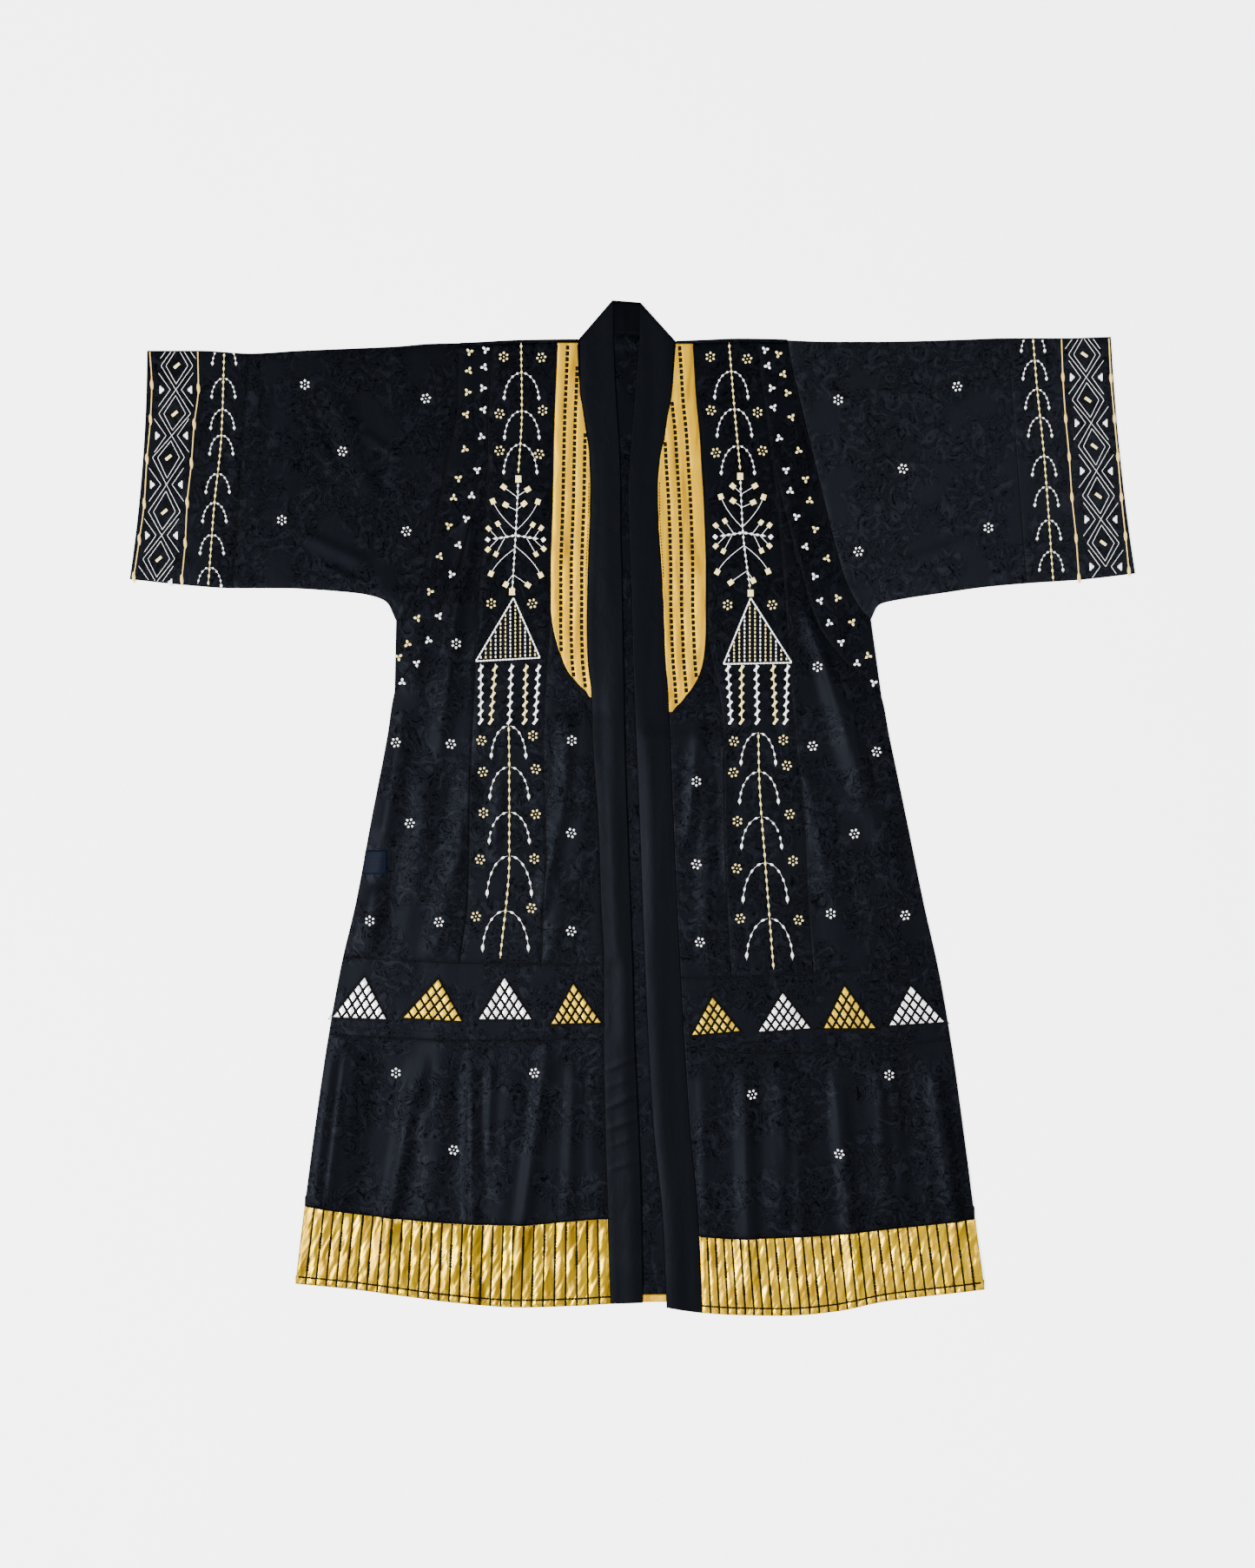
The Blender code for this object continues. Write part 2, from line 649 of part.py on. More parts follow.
def build_neck_gold(side, grid, band):
    """Gold panel beside the neck, with long channels that narrow to its point."""
    inward = 1 if side == "left" else -1
    steps = 2 * NECK_CHANNELS
    lower = []
    upper = []
    for number in range(GOLD_LAST_ROW[side] + 1):
        seam_x, seam_y = grid[number][band]
        edge_x = GOLD_EDGE_AT[side](seam_y)
        seam_y -= GAP / 2 if number == 0 else 0.0
        start = (edge_x, seam_y, APPLIQUE_BASE)
        end = (seam_x - inward * GAP, seam_y, APPLIQUE_BASE)
        below = [mix(start, end, step / steps) for step in range(steps + 1)]
        lower.append(below)
        raises = [NECK_CHANNEL_RAISE * (step % 2) for step in range(steps + 1)]
        upper.append([(x, y, z + APPLIQUE_WALL + up) for (x, y, z), up in zip(below, raises)])
    shell("neck_gold_" + side, upper, lower, GOLD)


def build_band(side, grid, lifts):
    """Front band, from the hem up over the shoulder corner to the back of the neck."""
    collar = COLLARS[side]
    top_free = grid[0][-1]
    rows = []
    for share in reversed(COLLAR_SHARES):
        seam = mix(collar["corner"], collar["fold_top"], share)
        free = mix(top_free, collar["free_top"], share)
        rows.append([mix(seam, free, step / BAND_COLUMNS) for step in range(BAND_COLUMNS + 1)])
    corner = collar["corner"]
    rows.append([mix(corner, top_free, step / BAND_COLUMNS) for step in range(BAND_COLUMNS + 1)])
    all_lifts = [0.0] * len(rows) + lifts[1:]
    panel("front_band_" + side, rows + grid[1:], all_lifts, ("first_column",), BAND, BAND_WALL)


def build_triangle(row):
    """Puffed satin triangle, from rows of points between its apex and its base."""
    apex = (row["apex_x"], row["apex_y"])
    start = (row["start_x"], row["start_y"])
    end = (row["end_x"], row["end_y"])
    name = "triangle_%s_%d" % (row["side"], row["number"])
    mesh = bmesh.new()
    layers = []
    for raised in (False, True):
        rows = []
        for i in range(TRIANGLE_STEPS + 1):
            left = mix(apex, start, i / TRIANGLE_STEPS)
            right = mix(apex, end, i / TRIANGLE_STEPS)
            line = []
            for j in range(i + 1):
                x, y = mix(left, right, j / i if i else 0.0)
                inside = 0 < j < i < TRIANGLE_STEPS
                z = APPLIQUE_BASE + (APPLIQUE_WALL + TRIANGLE_PUFF * inside if raised else 0.0)
                line.append(mesh.verts.new((x * MM, y * MM, z * MM)))
            rows.append(line)
        for i in range(TRIANGLE_STEPS):
            for j in range(i + 1):
                mesh.faces.new((rows[i][j], rows[i + 1][j], rows[i + 1][j + 1]))
                if j < i:
                    mesh.faces.new((rows[i][j], rows[i + 1][j + 1], rows[i][j + 1]))
        rim = [line[0] for line in rows] + rows[-1][1:] + [line[-1] for line in rows[-2:0:-1]]
        layers.append(rim)
    for number, (a, d) in enumerate(zip(*layers)):
        after = (number + 1) % len(layers[0])
        b, c = layers[0][after], layers[1][after]
        mesh.faces.new((a, b, c))
        mesh.faces.new((a, c, d))
    bmesh.ops.recalc_face_normals(mesh, faces=mesh.faces[:])
    data = bpy.data.meshes.new(name)
    mesh.to_mesh(data)
    mesh.free()
    data.materials.append(GOLD if row["satin"] == "gold" else SILVER)
    PARTS.objects.link(bpy.data.objects.new(name, data))


def back_columns():
    """Share of the back's width at each column, set by the shoulders and the neck."""
    left = ARMHOLES["left"][0]["x"]
    right = ARMHOLES["right"][0]["x"]
    neck_left, neck_right = BACK_NECK_ENDS
    stops = [lerp(left, neck_left, n / BACK_SHOULDER_COLUMNS) for n in range(BACK_SHOULDER_COLUMNS)]
    stops += [lerp(neck_left, neck_right, n / BACK_NECK_COLUMNS) for n in range(BACK_NECK_COLUMNS)]
    stops += [lerp(neck_right, right, n / BACK_SHOULDER_COLUMNS) for n in range(BACK_SHOULDER_COLUMNS + 1)]
    return [(x - left) / (right - left) for x in stops]


def back_row(left_y, right_y, sag=0.0):
    """Points across the back between two heights of its sides, lower in the middle by the sag."""
    left = (side_edge("left", left_y), left_y)
    right = (side_edge("right", right_y), right_y)
    points = []
    for share in back_columns():
        x, y = mix(left, right, share)
        points.append((x, y + sag * (4 * share * (1 - share)) ** 2))
    return points


def raised(points, up):
    return [(x, y + up) for x, y in points]


def at_height(points, z):
    return [(x, y, z) for x, y in points]


def shoulder_fold():
    """Top row of the back: the fold along the shoulders and the seam at the back of the neck."""
    left = ARMHOLES["left"][0]["x"]
    right = ARMHOLES["right"][0]["x"]
    neck_left, neck_right = BACK_NECK_ENDS
    ends = (LEVEL_AT["left"]["shoulder"](neck_left), LEVEL_AT["right"]["shoulder"](neck_right))
    points = []
    for share in back_columns():
        x = lerp(left, right, share)
        if neck_left <= x <= neck_right:
            across = (x - neck_left) / (neck_right - neck_left)
            y = lerp(ends[0], ends[1], across) + NECK_RISE * math.sin(math.pi * across)
        else:
            y = LEVEL_AT["left" if x < 0 else "right"]["shoulder"](x)
        points.append((x, y + LAP))
    return points


def build_back():
    """Back panel, flat on the surface, rolled over the shoulders and raised over the gold hem."""
    radius = (FRONT_BASE + CLOTH) / 2
    fold = shoulder_fold()
    points = [raised(fold, -LAP + GAP / 2), raised(fold, -radius)]
    outer = [at_height(points[0], 2 * radius), at_height(points[1], 2 * radius)]
    inner = [at_height(points[0], FRONT_BASE), at_height(points[1], FRONT_BASE)]
    for angle in BEND_ANGLES:
        turn = math.radians(angle)
        for layer, r in ((outer, radius), (inner, GAP / 2)):
            line = raised(fold, -radius + r * math.sin(turn))
            layer.append(at_height(line, radius + r * math.cos(turn)))
    lip_rows = len(outer)
    rows = [(raised(fold, -radius), 0.0)]
    for left, right in list(zip(armhole_points("left")[1], armhole_points("right")[1]))[1:]:
        rows.append((back_row(left[1], right[1]), 0.0))
    for y in BACK_SIDE_HEIGHTS:
        rows.append((back_row(y, y), 0.0))
    band_top = back_row(BACK_BAND_TOP["left"], BACK_BAND_TOP["right"], BACK_BAND_TOP["sag"])
    hem = back_row(BACK_HEM["left"], BACK_HEM["right"], BACK_HEM["sag"])
    rows.append((raised(band_top, HEM_RAMP), 0.0))
    rows.append((raised(band_top, BACK_OVERLAP), FRONT_BASE))
    rows.append(([mix(a, b, 0.5) for a, b in zip(band_top, hem)], FRONT_BASE))
    rows.append((raised(hem, BACK_EDGE), FRONT_BASE))
    flat = inset([line for line, _ in rows], ("first_column", "last_column"))
    outer += [at_height(line, z) for line, (_, z) in zip(flat, rows)]
    inner += [at_height(line, z + CLOTH) for line, (_, z) in zip(flat, rows)]
    for layer in (outer, inner):
        for line in layer[:lip_rows]:
            line[0] = (line[0][0] + GAP / 2, line[0][1], line[0][2])
            line[-1] = (line[-1][0] - GAP / 2, line[-1][1], line[-1][2])
    neck = range(BACK_SHOULDER_COLUMNS, BACK_SHOULDER_COLUMNS + BACK_NECK_COLUMNS)
    shell("back_panel", outer, inner, SATIN, present=lambda i, j: i >= lip_rows or j not in neck)


def build_back_hem():
    """Gold band under the back hem, turned up round its edge and laid on the inside."""
    top = back_row(BACK_BAND_TOP["left"], BACK_BAND_TOP["right"], BACK_BAND_TOP["sag"])
    hem = back_row(BACK_HEM["left"], BACK_HEM["right"], BACK_HEM["sag"])
    height = 3 * CLOTH + 2 * GAP
    radius = height / 2
    bend = radius - CLOTH
    outer = [at_height(top, 0.0), at_height(raised(hem, radius), 0.0)]
    inner = [at_height(top, CLOTH), at_height(raised(hem, radius), CLOTH)]
    for angle in reversed(BEND_ANGLES):
        turn = math.radians(angle)
        for layer, r in ((outer, radius), (inner, bend)):
            line = raised(hem, radius - r * math.sin(turn))
            layer.append(at_height(line, radius + r * math.cos(turn)))
    for up in (radius, HEM_TURNUP):
        outer.append(at_height(raised(hem, up), height))
        inner.append(at_height(raised(hem, up), height - CLOTH))
    shell("back_hem_band", outer, inner, GOLD)


def build_collar_back():
    """Part of the neck band that runs behind the neck, between the two front bands' folds."""
    neck = range(BACK_SHOULDER_COLUMNS, BACK_SHOULDER_COLUMNS + BACK_NECK_COLUMNS + 1)
    radius = (FRONT_BASE + CLOTH) / 2
    seam = [shoulder_fold()[j] for j in neck]
    seam = raised(seam, GAP - radius)
    top = [mix(*COLLAR_BACK_TOP, n / BACK_NECK_COLUMNS) for n in range(BACK_NECK_COLUMNS + 1)]
    middle = [mix(a, b, 0.5) for a, b in zip(seam, top)]
    grid = inset([seam, middle, top], ("first_column", "last_column"))
    lower = [at_height(line, 0.0) for line in grid]
    upper = [at_height(line, CLOTH) for line in grid]
    shell("collar_back", upper, lower, BAND)


def build_label():
    """Small tab sewn in at the left side seam, bare."""
    first, second, third, fourth = LABEL_CORNERS
    lower = [at_height((first, second), APPLIQUE_BASE), at_height((fourth, third), APPLIQUE_BASE)]
    upper = [[(x, y, z + LABEL_WALL) for x, y, z in line] for line in lower]
    shell("side_label", upper, lower, LABEL)


clear_scene()
PARTS = bpy.data.collections.new("abaya")
bpy.context.scene.collection.children.link(PARTS)
SATIN = make_material("satin_black", SATIN_BLACK, 0.42, 0.3)
BAND = make_material("band_black", BAND_BLACK, 0.5, 0.2)
GOLD = make_material("satin_gold", SATIN_GOLD, 0.35, 0.2)
SILVER = make_material("satin_silver", SATIN_SILVER, 0.35, 0.2)
LABEL = make_material("label_navy", LABEL_NAVY, 0.45, 0.1)

build_back()
build_back_hem()
build_collar_back()
for each_side in SIDES:
    build_front(each_side)
    tube("sleeve_" + each_side, each_side, CUFF_SEAM, ARMHOLE_STATION, ("first_row", "last_row"))
    tube("cuff_" + each_side, each_side, 0, CUFF_SEAM, ("last_row",))
for triangle_row in TRIANGLES:
    build_triangle(triangle_row)
build_label()
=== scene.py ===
"""Looks of the abaya laid flat, in the frame of its solids.

Sizes are millimetres until the meshes are made. X runs across the garment, Y from the hem up to the
collar and Z up from the surface it lies on, as in the solids, and the tables of the cut are theirs.
"""
import bmesh
import bpy
import math
import numpy as np
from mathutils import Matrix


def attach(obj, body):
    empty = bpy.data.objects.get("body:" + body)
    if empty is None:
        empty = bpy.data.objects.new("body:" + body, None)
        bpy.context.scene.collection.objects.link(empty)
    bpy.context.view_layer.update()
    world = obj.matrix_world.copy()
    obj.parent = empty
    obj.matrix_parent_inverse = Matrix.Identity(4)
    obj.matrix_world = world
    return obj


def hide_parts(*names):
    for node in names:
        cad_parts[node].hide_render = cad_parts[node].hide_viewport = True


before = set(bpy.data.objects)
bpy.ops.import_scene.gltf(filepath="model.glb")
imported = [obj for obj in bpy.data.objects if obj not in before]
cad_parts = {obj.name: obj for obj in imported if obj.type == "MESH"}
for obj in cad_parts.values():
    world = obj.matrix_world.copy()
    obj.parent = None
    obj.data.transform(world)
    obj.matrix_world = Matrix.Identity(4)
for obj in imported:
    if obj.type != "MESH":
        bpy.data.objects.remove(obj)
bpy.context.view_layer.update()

MM = 0.001

# Cloth and seams
CLOTH = 1.3
BAND_WALL = 1.8
APPLIQUE_WALL = 1.0
LABEL_WALL = 0.8
GAP = 0.3
LAYER = CLOTH + GAP
FRONT_BASE = LAYER
TOP = FRONT_BASE + CLOTH
FOLD_RADIUS = TOP / 2
FOLD_TURNS = np.radians((30, 60, 90, 120, 150))
LAP = 5.6               # the back rolls this far over the shoulders
HEM_TURNUP = 11.5
HEM_RAMP = 18.0
# Soft ridge along the front bands: its height and the share of it at the free edge, how far from
# that edge it crests and ends and over how far it falls, and the height where it fades in
BAND_CURL = {"height": 1.8, "edge_share": 0.2, "crest": 13.0, "reach": 36.0, "fall": 20.0,
             "top": 240.0, "fade": 160.0, "noise_x": 7.0}
BACK_OVERLAP = 2.0
BACK_EDGE = 2.1
NECK_RISE = 8.5
BACK_STEP = 9.0
STEP = 6.0              # spacing of the cloth's points
CLOSE_POINTS = (0.0, 1.3, 3.0)          # and closer ones at this distance from its edges
HEM_STEP = 3.2          # and down the gold hem
BAND_STEP = 3.0         # and down the front bands
SEAM_DIP = 0.55         # the upper side sinks this much at a seam
SEAM_REACH = 2.6        # over about this width
SEAM_LINE_DEPTH = 0.8   # and the black line of painted shade in it lies at this share of the depth
ROUNDS = 6              # a grid's places settle between the curved lines in these rounds
NARROW = 45.0           # the strips and the front bands have points across as for this width
NECK_ROWS = 21          # and the band's way to the neck replaces its first rows
FOLD_FADE = 0.03        # ripples of a sleeve fade in over this share of its depth
# Rows of points of the back along its armholes, its sides and its hem, of the gold band where it
# is flat and turned up, and of the collar
BACK_ROWS = {"armhole": 40, "side": 80, "hem": 12, "band": 12, "turned": 5, "collar": 10}

# The front rises by a layer over the gold band of the back, and again over its turned-up edge. Where
# each rise starts and how long it is, as shares of the skirt and of the gold hem.
SKIRT_RISE = (0.51, 0.33)
HEM_RISE = (0.33, 0.33)


def table(columns, *rows):
    """Short table with named columns."""
    return [dict(zip(columns.split(), row)) for row in rows]


def named(columns, *rows):
    """Short table with named columns, whose rows start with their own name."""
    return {name: dict(zip(columns.split(), row)) for name, *row in rows}


# Where the lines of each front lie at each height: the side edge or the strip's seam, the two seams
# of the embroidered panel, the seam of the front band and the band's free edge.
SECTIONS_COLUMNS = "y side outer_seam inner_seam band_seam free_edge"
SECTIONS = {
    "left": table(
        SECTIONS_COLUMNS,
        (667, -208, -201, -109, -79, -28), (601, -208, -205, -112, -76, -25),
        (538, -209, -208, -114, -66, -21), (499, -210, -208, -115, -62, -19),
        (457, -225, -210, -116, -61, -18), (413, -236, -211, -117, -62, -18),
        (333, -259, -219, -120, -65, -16), (266, -285, -224, -119, -66, -15),
        (216, -311, -226, -123, -65, -14), (167, -343, -228, -126, -60, -13),
        (101, -354, -232, -129, -58, -12), (-24, -378, -235, -126, -50, -8),
        (-137, -399, -238, -129, -46, -4), (-222, -419, -249, -132, -42, -1),
        (-332, -439, -255, -134, -42, 2), (-462, -458, -265, -139, -40, 8),
        (-587, -474, -274, -142, -36, 12), (-716, -489, -280, -146, -32, 14),
    ),
    "right": table(
        SECTIONS_COLUMNS,
        (667, 197, 181, 86, 61, 9), (601, 199, 188, 90, 55, 3),
        (538, 201, 196, 96, 45, -2), (499, 203, 201, 98, 38, -5),
        (457, 212, 206, 101, 35, -7), (413, 223, 210, 103, 36, -6),
        (333, 245, 217, 105, 41, -3), (266, 266, 222, 107, 44, -1),
        (216, 301, 225, 114, 46, 0), (167, 355, 228, 124, 50, 2),
        (101, 369, 234, 131, 53, 4), (-24, 395, 246, 132, 58, 9),
        (-137, 418, 252, 136, 63, 13), (-236, 440, 259, 141, 68, 17),
        (-347, 459, 268, 149, 74, 22), (-462, 475, 279, 161, 82, 29),
        (-587, 491, 293, 174, 93, 42), (-721, 509, 308, 186, 99, 48),
    ),
}
STRIP_END_SECTION = 9

# Heights of the cross seams along x
LEVEL_COLUMNS = "x shoulder band_top band_bottom hem_top hem_bottom"
LEVELS = {
    "left": table(
        LEVEL_COLUMNS,
        (-486, 663, -212, -321, -570, -684), (-411, 663, -215, -327, -581, -691),
        (-336, 663, -219, -331, -590, -701), (-249, 664, -223, -334, -597, -712),
        (-161, 668, -224, -334, -599, -718), (-86, 669, -226, -332, -593, -716),
        (-36, 669, -226, -331, -590, -713), (15, 669, -226, -331, -590, -711),
    ),
    "right": table(
        LEVEL_COLUMNS,
        (46, 666, -243, -352, -613, -718), (99, 668, -245, -348, -616, -726),
        (151, 670, -244, -351, -619, -729), (214, 669, -241, -352, -617, -730),
        (289, 663, -236, -349, -613, -724), (364, 663, -231, -342, -605, -709),
        (439, 663, -227, -334, -597, -700), (509, 663, -224, -327, -588, -692),
    ),
}
FORK_SHARE = 0.1885     # the side panel starts this far down, between strip and embroidered panel
STRIP_SHARE = 0.5626    # and the strip's seam reaches the side edge here

ARMHOLES = {
    "left": table(
        "y x",
        (669, -249), (626, -250), (584, -251), (479, -270),
        (368, -292), (326, -305), (279, -326), (269, -341),
    ),
    "right": table(
        "y x",
        (673, 222), (626, 231), (584, 241), (463, 270),
        (374, 292), (332, 304), (288, 326), (271, 342),
    ),
}

# Stations along each sleeve, from the cuff edge to the armhole. The third is the cuff seam.
SLEEVE_COLUMNS = "at top_x top_y bottom_x bottom_y bow hollow"
SLEEVES = {
    "left": table(
        SLEEVE_COLUMNS,
        (0, -699, 658, -724, 329, 0.0, 6.0), (1, -624, 658, -649, 321, 0.0, 3.0),
        (2, -551, 654, -576, 316, 0.0, 0.0), (3, -480, 658, -505, 316, 0.05, 0.0),
        (4, -411, 661, -430, 312, 0.15, 0.0), (5, -341, 664, -380, 306, 0.35, 0.0),
        (6, -292, 668, -355, 296, 0.65, 0.0), (7, -249, 669, -341, 269, 1.0, 0.0),
    ),
    "right": table(
        SLEEVE_COLUMNS,
        (0, 687, 678, 722, 337, 0.0, 4.5), (1, 616, 676, 642, 328, 0.0, 2.0),
        (2, 539, 676, 566, 323, 0.0, 0.0), (3, 476, 674, 501, 317, 0.05, 0.0),
        (4, 414, 672, 445, 309, 0.15, 0.0), (5, 351, 671, 391, 301, 0.35, 0.0),
        (6, 282, 671, 354, 292, 0.65, 0.0), (7, 222, 673, 342, 271, 1.0, 0.0),
    ),
}
CUFF_SEAM = 2
ARMHOLE_STATION = 7

NECK_GOLD_EDGES = {
    "left": table(
        "y x",
        (669, -109), (538, -114), (438, -116), (338, -119), (288, -119), (263, -116),
        (238, -110), (213, -102), (188, -88), (167, -68), (159, -62),
    ),
    "right": table(
        "y x",
        (669, 86), (638, 88), (588, 91), (538, 96), (488, 99), (438, 102), (338, 105),
        (263, 105), (238, 104), (213, 101), (188, 94), (163, 78), (138, 56),
    ),
}
GOLD_STRAIGHT = 288     # below this the stitch rows of the gold run along the band, not its edge
GOLD_ROWS = {"left": (15.0, 30.0, 45.0), "right": (19.5, 35.5, 51.0)}

TRIANGLES = table(
    "side number satin apex_x apex_y start_x start_y end_x end_y",
    ("left", 1, "silver", -386, -243, -432, -301, -355, -304),
    ("left", 2, "gold", -280, -246, -331, -302, -246, -307),
    ("left", 3, "silver", -185, -244, -222, -304, -146, -304),
    ("left", 4, "gold", -86, -253, -118, -311, -46, -309),
    ("right", 1, "gold", 114, -272, 84, -327, 154, -321),
    ("right", 2, "silver", 215, -266, 180, -322, 255, -317),
    ("right", 3, "gold", 304, -256, 274, -317, 349, -317),
    ("right", 4, "silver", 399, -256, 368, -313, 448, -308),
)

# Soft folds of the solids: the line of the ridge, half its width and its height
FOLD_COLUMNS = "x_top y_top x_bottom y_bottom half_width height"
FOLDS = table(
    FOLD_COLUMNS,
    (-225, 440, -264, 225, 16, 4.2), (-254, 268, -282, 55, 15, 4.0),
    (-228, 70, -262, -110, 18, 3.8), (-250, -60, -297, -232, 18, 3.5),
    (-330, 165, -388, -236, 19, 4.5), (-94, 150, -99, -30, 14, 3.2),
    (-97, 30, -136, -170, 15, 3.5), (-100, -90, -122, -235, 12, 2.5),
    (-416, -320, -447, -600, 20, 4.5), (-304, -340, -366, -680, 20, 4.8),
    (-232, -325, -230, -760, 17, 4.5), (-120, -322, -172, -690, 17, 4.2),
    (-202, -345, -212, -540, 12, 2.0), (-80, -345, -98, -640, 16, 2.2),
    (238, 312, 354, -30, 19, 4.6), (344, 20, 400, -200, 20, 4.6),
    (245, 70, 297, -165, 14, 3.5), (298, 0, 350, -190, 14, 2.4),
    (100, 160, 76, -70, 13, 3.2), (129, 130, 137, -150, 13, 3.2),
    (160, -350, 168, -720, 20, 4.8), (98, -360, 105, -600, 12, 2.2),
    (290, -345, 322, -720, 17, 4.2), (236, -400, 247, -680, 16, 2.8),
    (428, -345, 472, -650, 20, 4.6), (372, -350, 392, -600, 14, 2.2),
    (-430, 600, -372, 430, 24, 1.4), (-490, 400, -372, 345, 15, 1.2),
    (-640, 610, -650, 370, 20, 0.8), (470, 610, 400, 430, 24, 1.3),
    (485, 385, 372, 345, 15, 1.2), (560, 610, 545, 370, 20, 0.9),
    (650, 620, 665, 380, 20, 0.8),
)

# Broad soft swells and finer creases, which only the looks have
CREASES = table(
    FOLD_COLUMNS,
    (-398, -318, -436, -610, 44, 5.5), (-338, 150, -392, -232, 40, 3.6),
    (-272, -320, -300, -640, 34, 2.4), (-175, -330, -196, -640, 32, 2.2),
    (-70, 140, -92, -230, 26, 1.8), (-290, 80, -330, -232, 30, 2.4),
    (286, 250, 372, -230, 36, 3.4), (420, -330, 448, -620, 40, 3.4),
    (210, -340, 216, -640, 34, 2.6), (352, -340, 372, -640, 30, 2.4),
    (262, 20, 300, -232, 30, 2.0), (112, 100, 104, -232, 24, 2.0),
    (-330, 300, -262, 352, 9, 1.6), (-336, 288, -285, 300, 8, 1.3),
    (-300, 250, -322, 150, 9, 1.8), (-318, 236, -340, 120, 7, 1.2),
    (-205, 330, -232, 200, 8, 1.6), (-190, 60, -200, -90, 9, 1.4),
    (-300, 60, -306, -60, 10, 1.5), (-380, -20, -392, -150, 9, 1.3),
    (-288, -60, -300, -200, 9, 1.4), (-70, 60, -72, -120, 8, 1.2),
    (-104, 110, -108, -10, 8, 1.2), (-42, -379, 8, -355, 4.5, 1.3),
    (-40, -404, -2, -387, 4.0, 0.9), (-42, -434, 8, -409, 5.0, 1.6),
    (-40, -464, 10, -443, 4.5, 1.4), (-36, -489, 6, -471, 4.0, 1.0),
    (-38, -522, 4, -506, 4.0, 1.2), (-400, -340, -408, -470, 9, 1.4),
    (-300, -345, -304, -500, 10, 1.6), (-205, -345, -208, -470, 7, 1.1),
    (-90, -350, -92, -520, 8, 1.2), (-60, -360, -58, -560, 7, 1.0),
    (330, 305, 262, 340, 9, 1.6), (338, 292, 290, 306, 8, 1.3),
    (268, 236, 300, 120, 8, 1.5), (330, 190, 352, 60, 8, 1.4),
    (208, 330, 222, 190, 8, 1.5), (196, 30, 212, -120, 8, 1.2),
    (372, 20, 392, -120, 9, 1.4), (300, -60, 318, -200, 9, 1.2),
    (100, -20, 104, -180, 7, 1.0), (210, -370, 222, -520, 9, 1.3),
    (285, -365, 292, -520, 8, 1.2), (350, -360, 362, -500, 9, 1.4),
    (450, -350, 468, -520, 9, 1.4), (110, -370, 118, -560, 8, 1.2),
    (-470, 560, -420, 470, 10, 1.2), (-600, 560, -560, 470, 9, 0.8),
    (-450, 352, -392, 322, 8, 1.3), (-420, 560, -330, 500, 9, 1.1),
    (450, 560, 400, 480, 10, 1.2), (590, 600, 560, 500, 9, 0.8),
    (452, 350, 392, 322, 8, 1.3), (400, 560, 320, 500, 9, 1.1),
    (60, 560, 52, 300, 10, 0.8), (-44, 560, -40, 260, 10, 0.8),
    (26, 120, 34, -220, 12, 0.9), (-34, 60, -24, -240, 12, 0.9),
)
FOLD_END = 0.22
SIDE_FADE = 30.0

CALM_ZONES = table(
    "x_low x_high y_low y_high kept",
    (-128, -55, 145, 680, 0.12),
    (30, 116, 125, 680, 0.12),
    (-445, -30, -318, -236, 0.5),
    (70, 462, -334, -246, 0.5),
    (-398, -346, -102, -54, 0.3),
)
CALM_FADE = 28.0

# Smooth unevenness: the size of its waves, its least and greatest value, and the seed of its noise
WAVES = named(
    "cell_x cell_y low high seed",
    ("broad ripple", 46, 260, 0.0, 2.4, 11),
    ("middle ripple", 20, 140, 0.0, 0.5, 12),
    ("fine ripple", 9, 26, 0.0, 0.16, 13),
    ("ripple strength", 150, 260, 0.4, 1.3, 14),
    ("seam", 8, 8, 0.7, 1.2, 5),
    ("band curl", 30, 150, 0.6, 1.0, 21),
    ("hem puff", 24, 90, 0.4, 1.2, 33),
    ("hem crumple", 6.5, 45, -1.0, 1.0, 31),
    ("hem lean", 16, 300, -1.0, 1.0, 34),
    ("neck gold crumple", 12, 60, 0.0, 0.5, 41),
    ("turned-up hem", 8, 8, 0.0, 0.25, 51),
    ("collar sag", 12, 30, 0.0, 0.9, 61),
)
WAVE_CELLS = 97         # cells of the noise each way
RIPPLES = ("broad ripple", "middle ripple", "fine ripple")
FAN_WIDTH = 440.0       # ripples spread with the side edges, and are as above where these are so far out
SLEEVE_DRAPE = 0.3      # share of them in the sleeves, which lie flatter
BODY_TOP = 400.0        # below this height the sleeves' drape turns to the body's
BODY_FADE = 200.0       # over this much

LABEL_CORNERS = ((-385, -61), (-354, -61), (-354, -95), (-390, -95))

BACK_NECK_ENDS = (-79.3, 61.5)
BACK_BAND_TOP = {"left": -574, "right": -589, "sag": -10}
BACK_HEM = {"left": -684, "right": -690, "sag": -24}
COLLARS = {
    "left": {"corner": (-77.0, 672.0), "fold_top": (-32.0, 727.0), "free_top": (-29.5, 729.5)},
    "right": {"corner": (60.0, 671.5), "fold_top": (12.5, 725.0), "free_top": (10.0, 727.0)},
}
COLLAR_BACK_TOP = ((-30.0, 730.5), (10.5, 727.5))

# The gold hem: stitched channels in each stretch, and how far they stand up
HEM_CHANNELS = {"side": 14, "outer_seam": 9, "inner_seam": 7}
HEM_PUFF = 1.0
HEM_CRUMPLE = 0.5
HEM_TILT = 2.4          # some channels lean over
HEM_WORN = {"left": 1.0, "right": 0.6}   # the left one is more crumpled
HEM_SINK = 0.3          # nowhere do they sink more than this
HEM_LINE = 10.5         # stitched line above the lower edge
HEM_LINE_DIP = {"share": 0.75, "width": 2.4}
HEM_TOP_FADE = 9.0
HEM_EDGE = {"share": 0.35, "width": 3.0}
CHANNEL_POINTS = 8
CRUMPLE_SLANT = 0.4     # crumples lean by this share of their height

# The neck's gold: how far apart its points are down and across, on about this width, and how it
# puffs between the rows of stitches
GOLD_STEPS = {"along": 3.5, "across": 2.2, "width": 52.0}
GOLD_PUFF = {"height": 0.4, "reach": 4.0, "slant": 0.6}

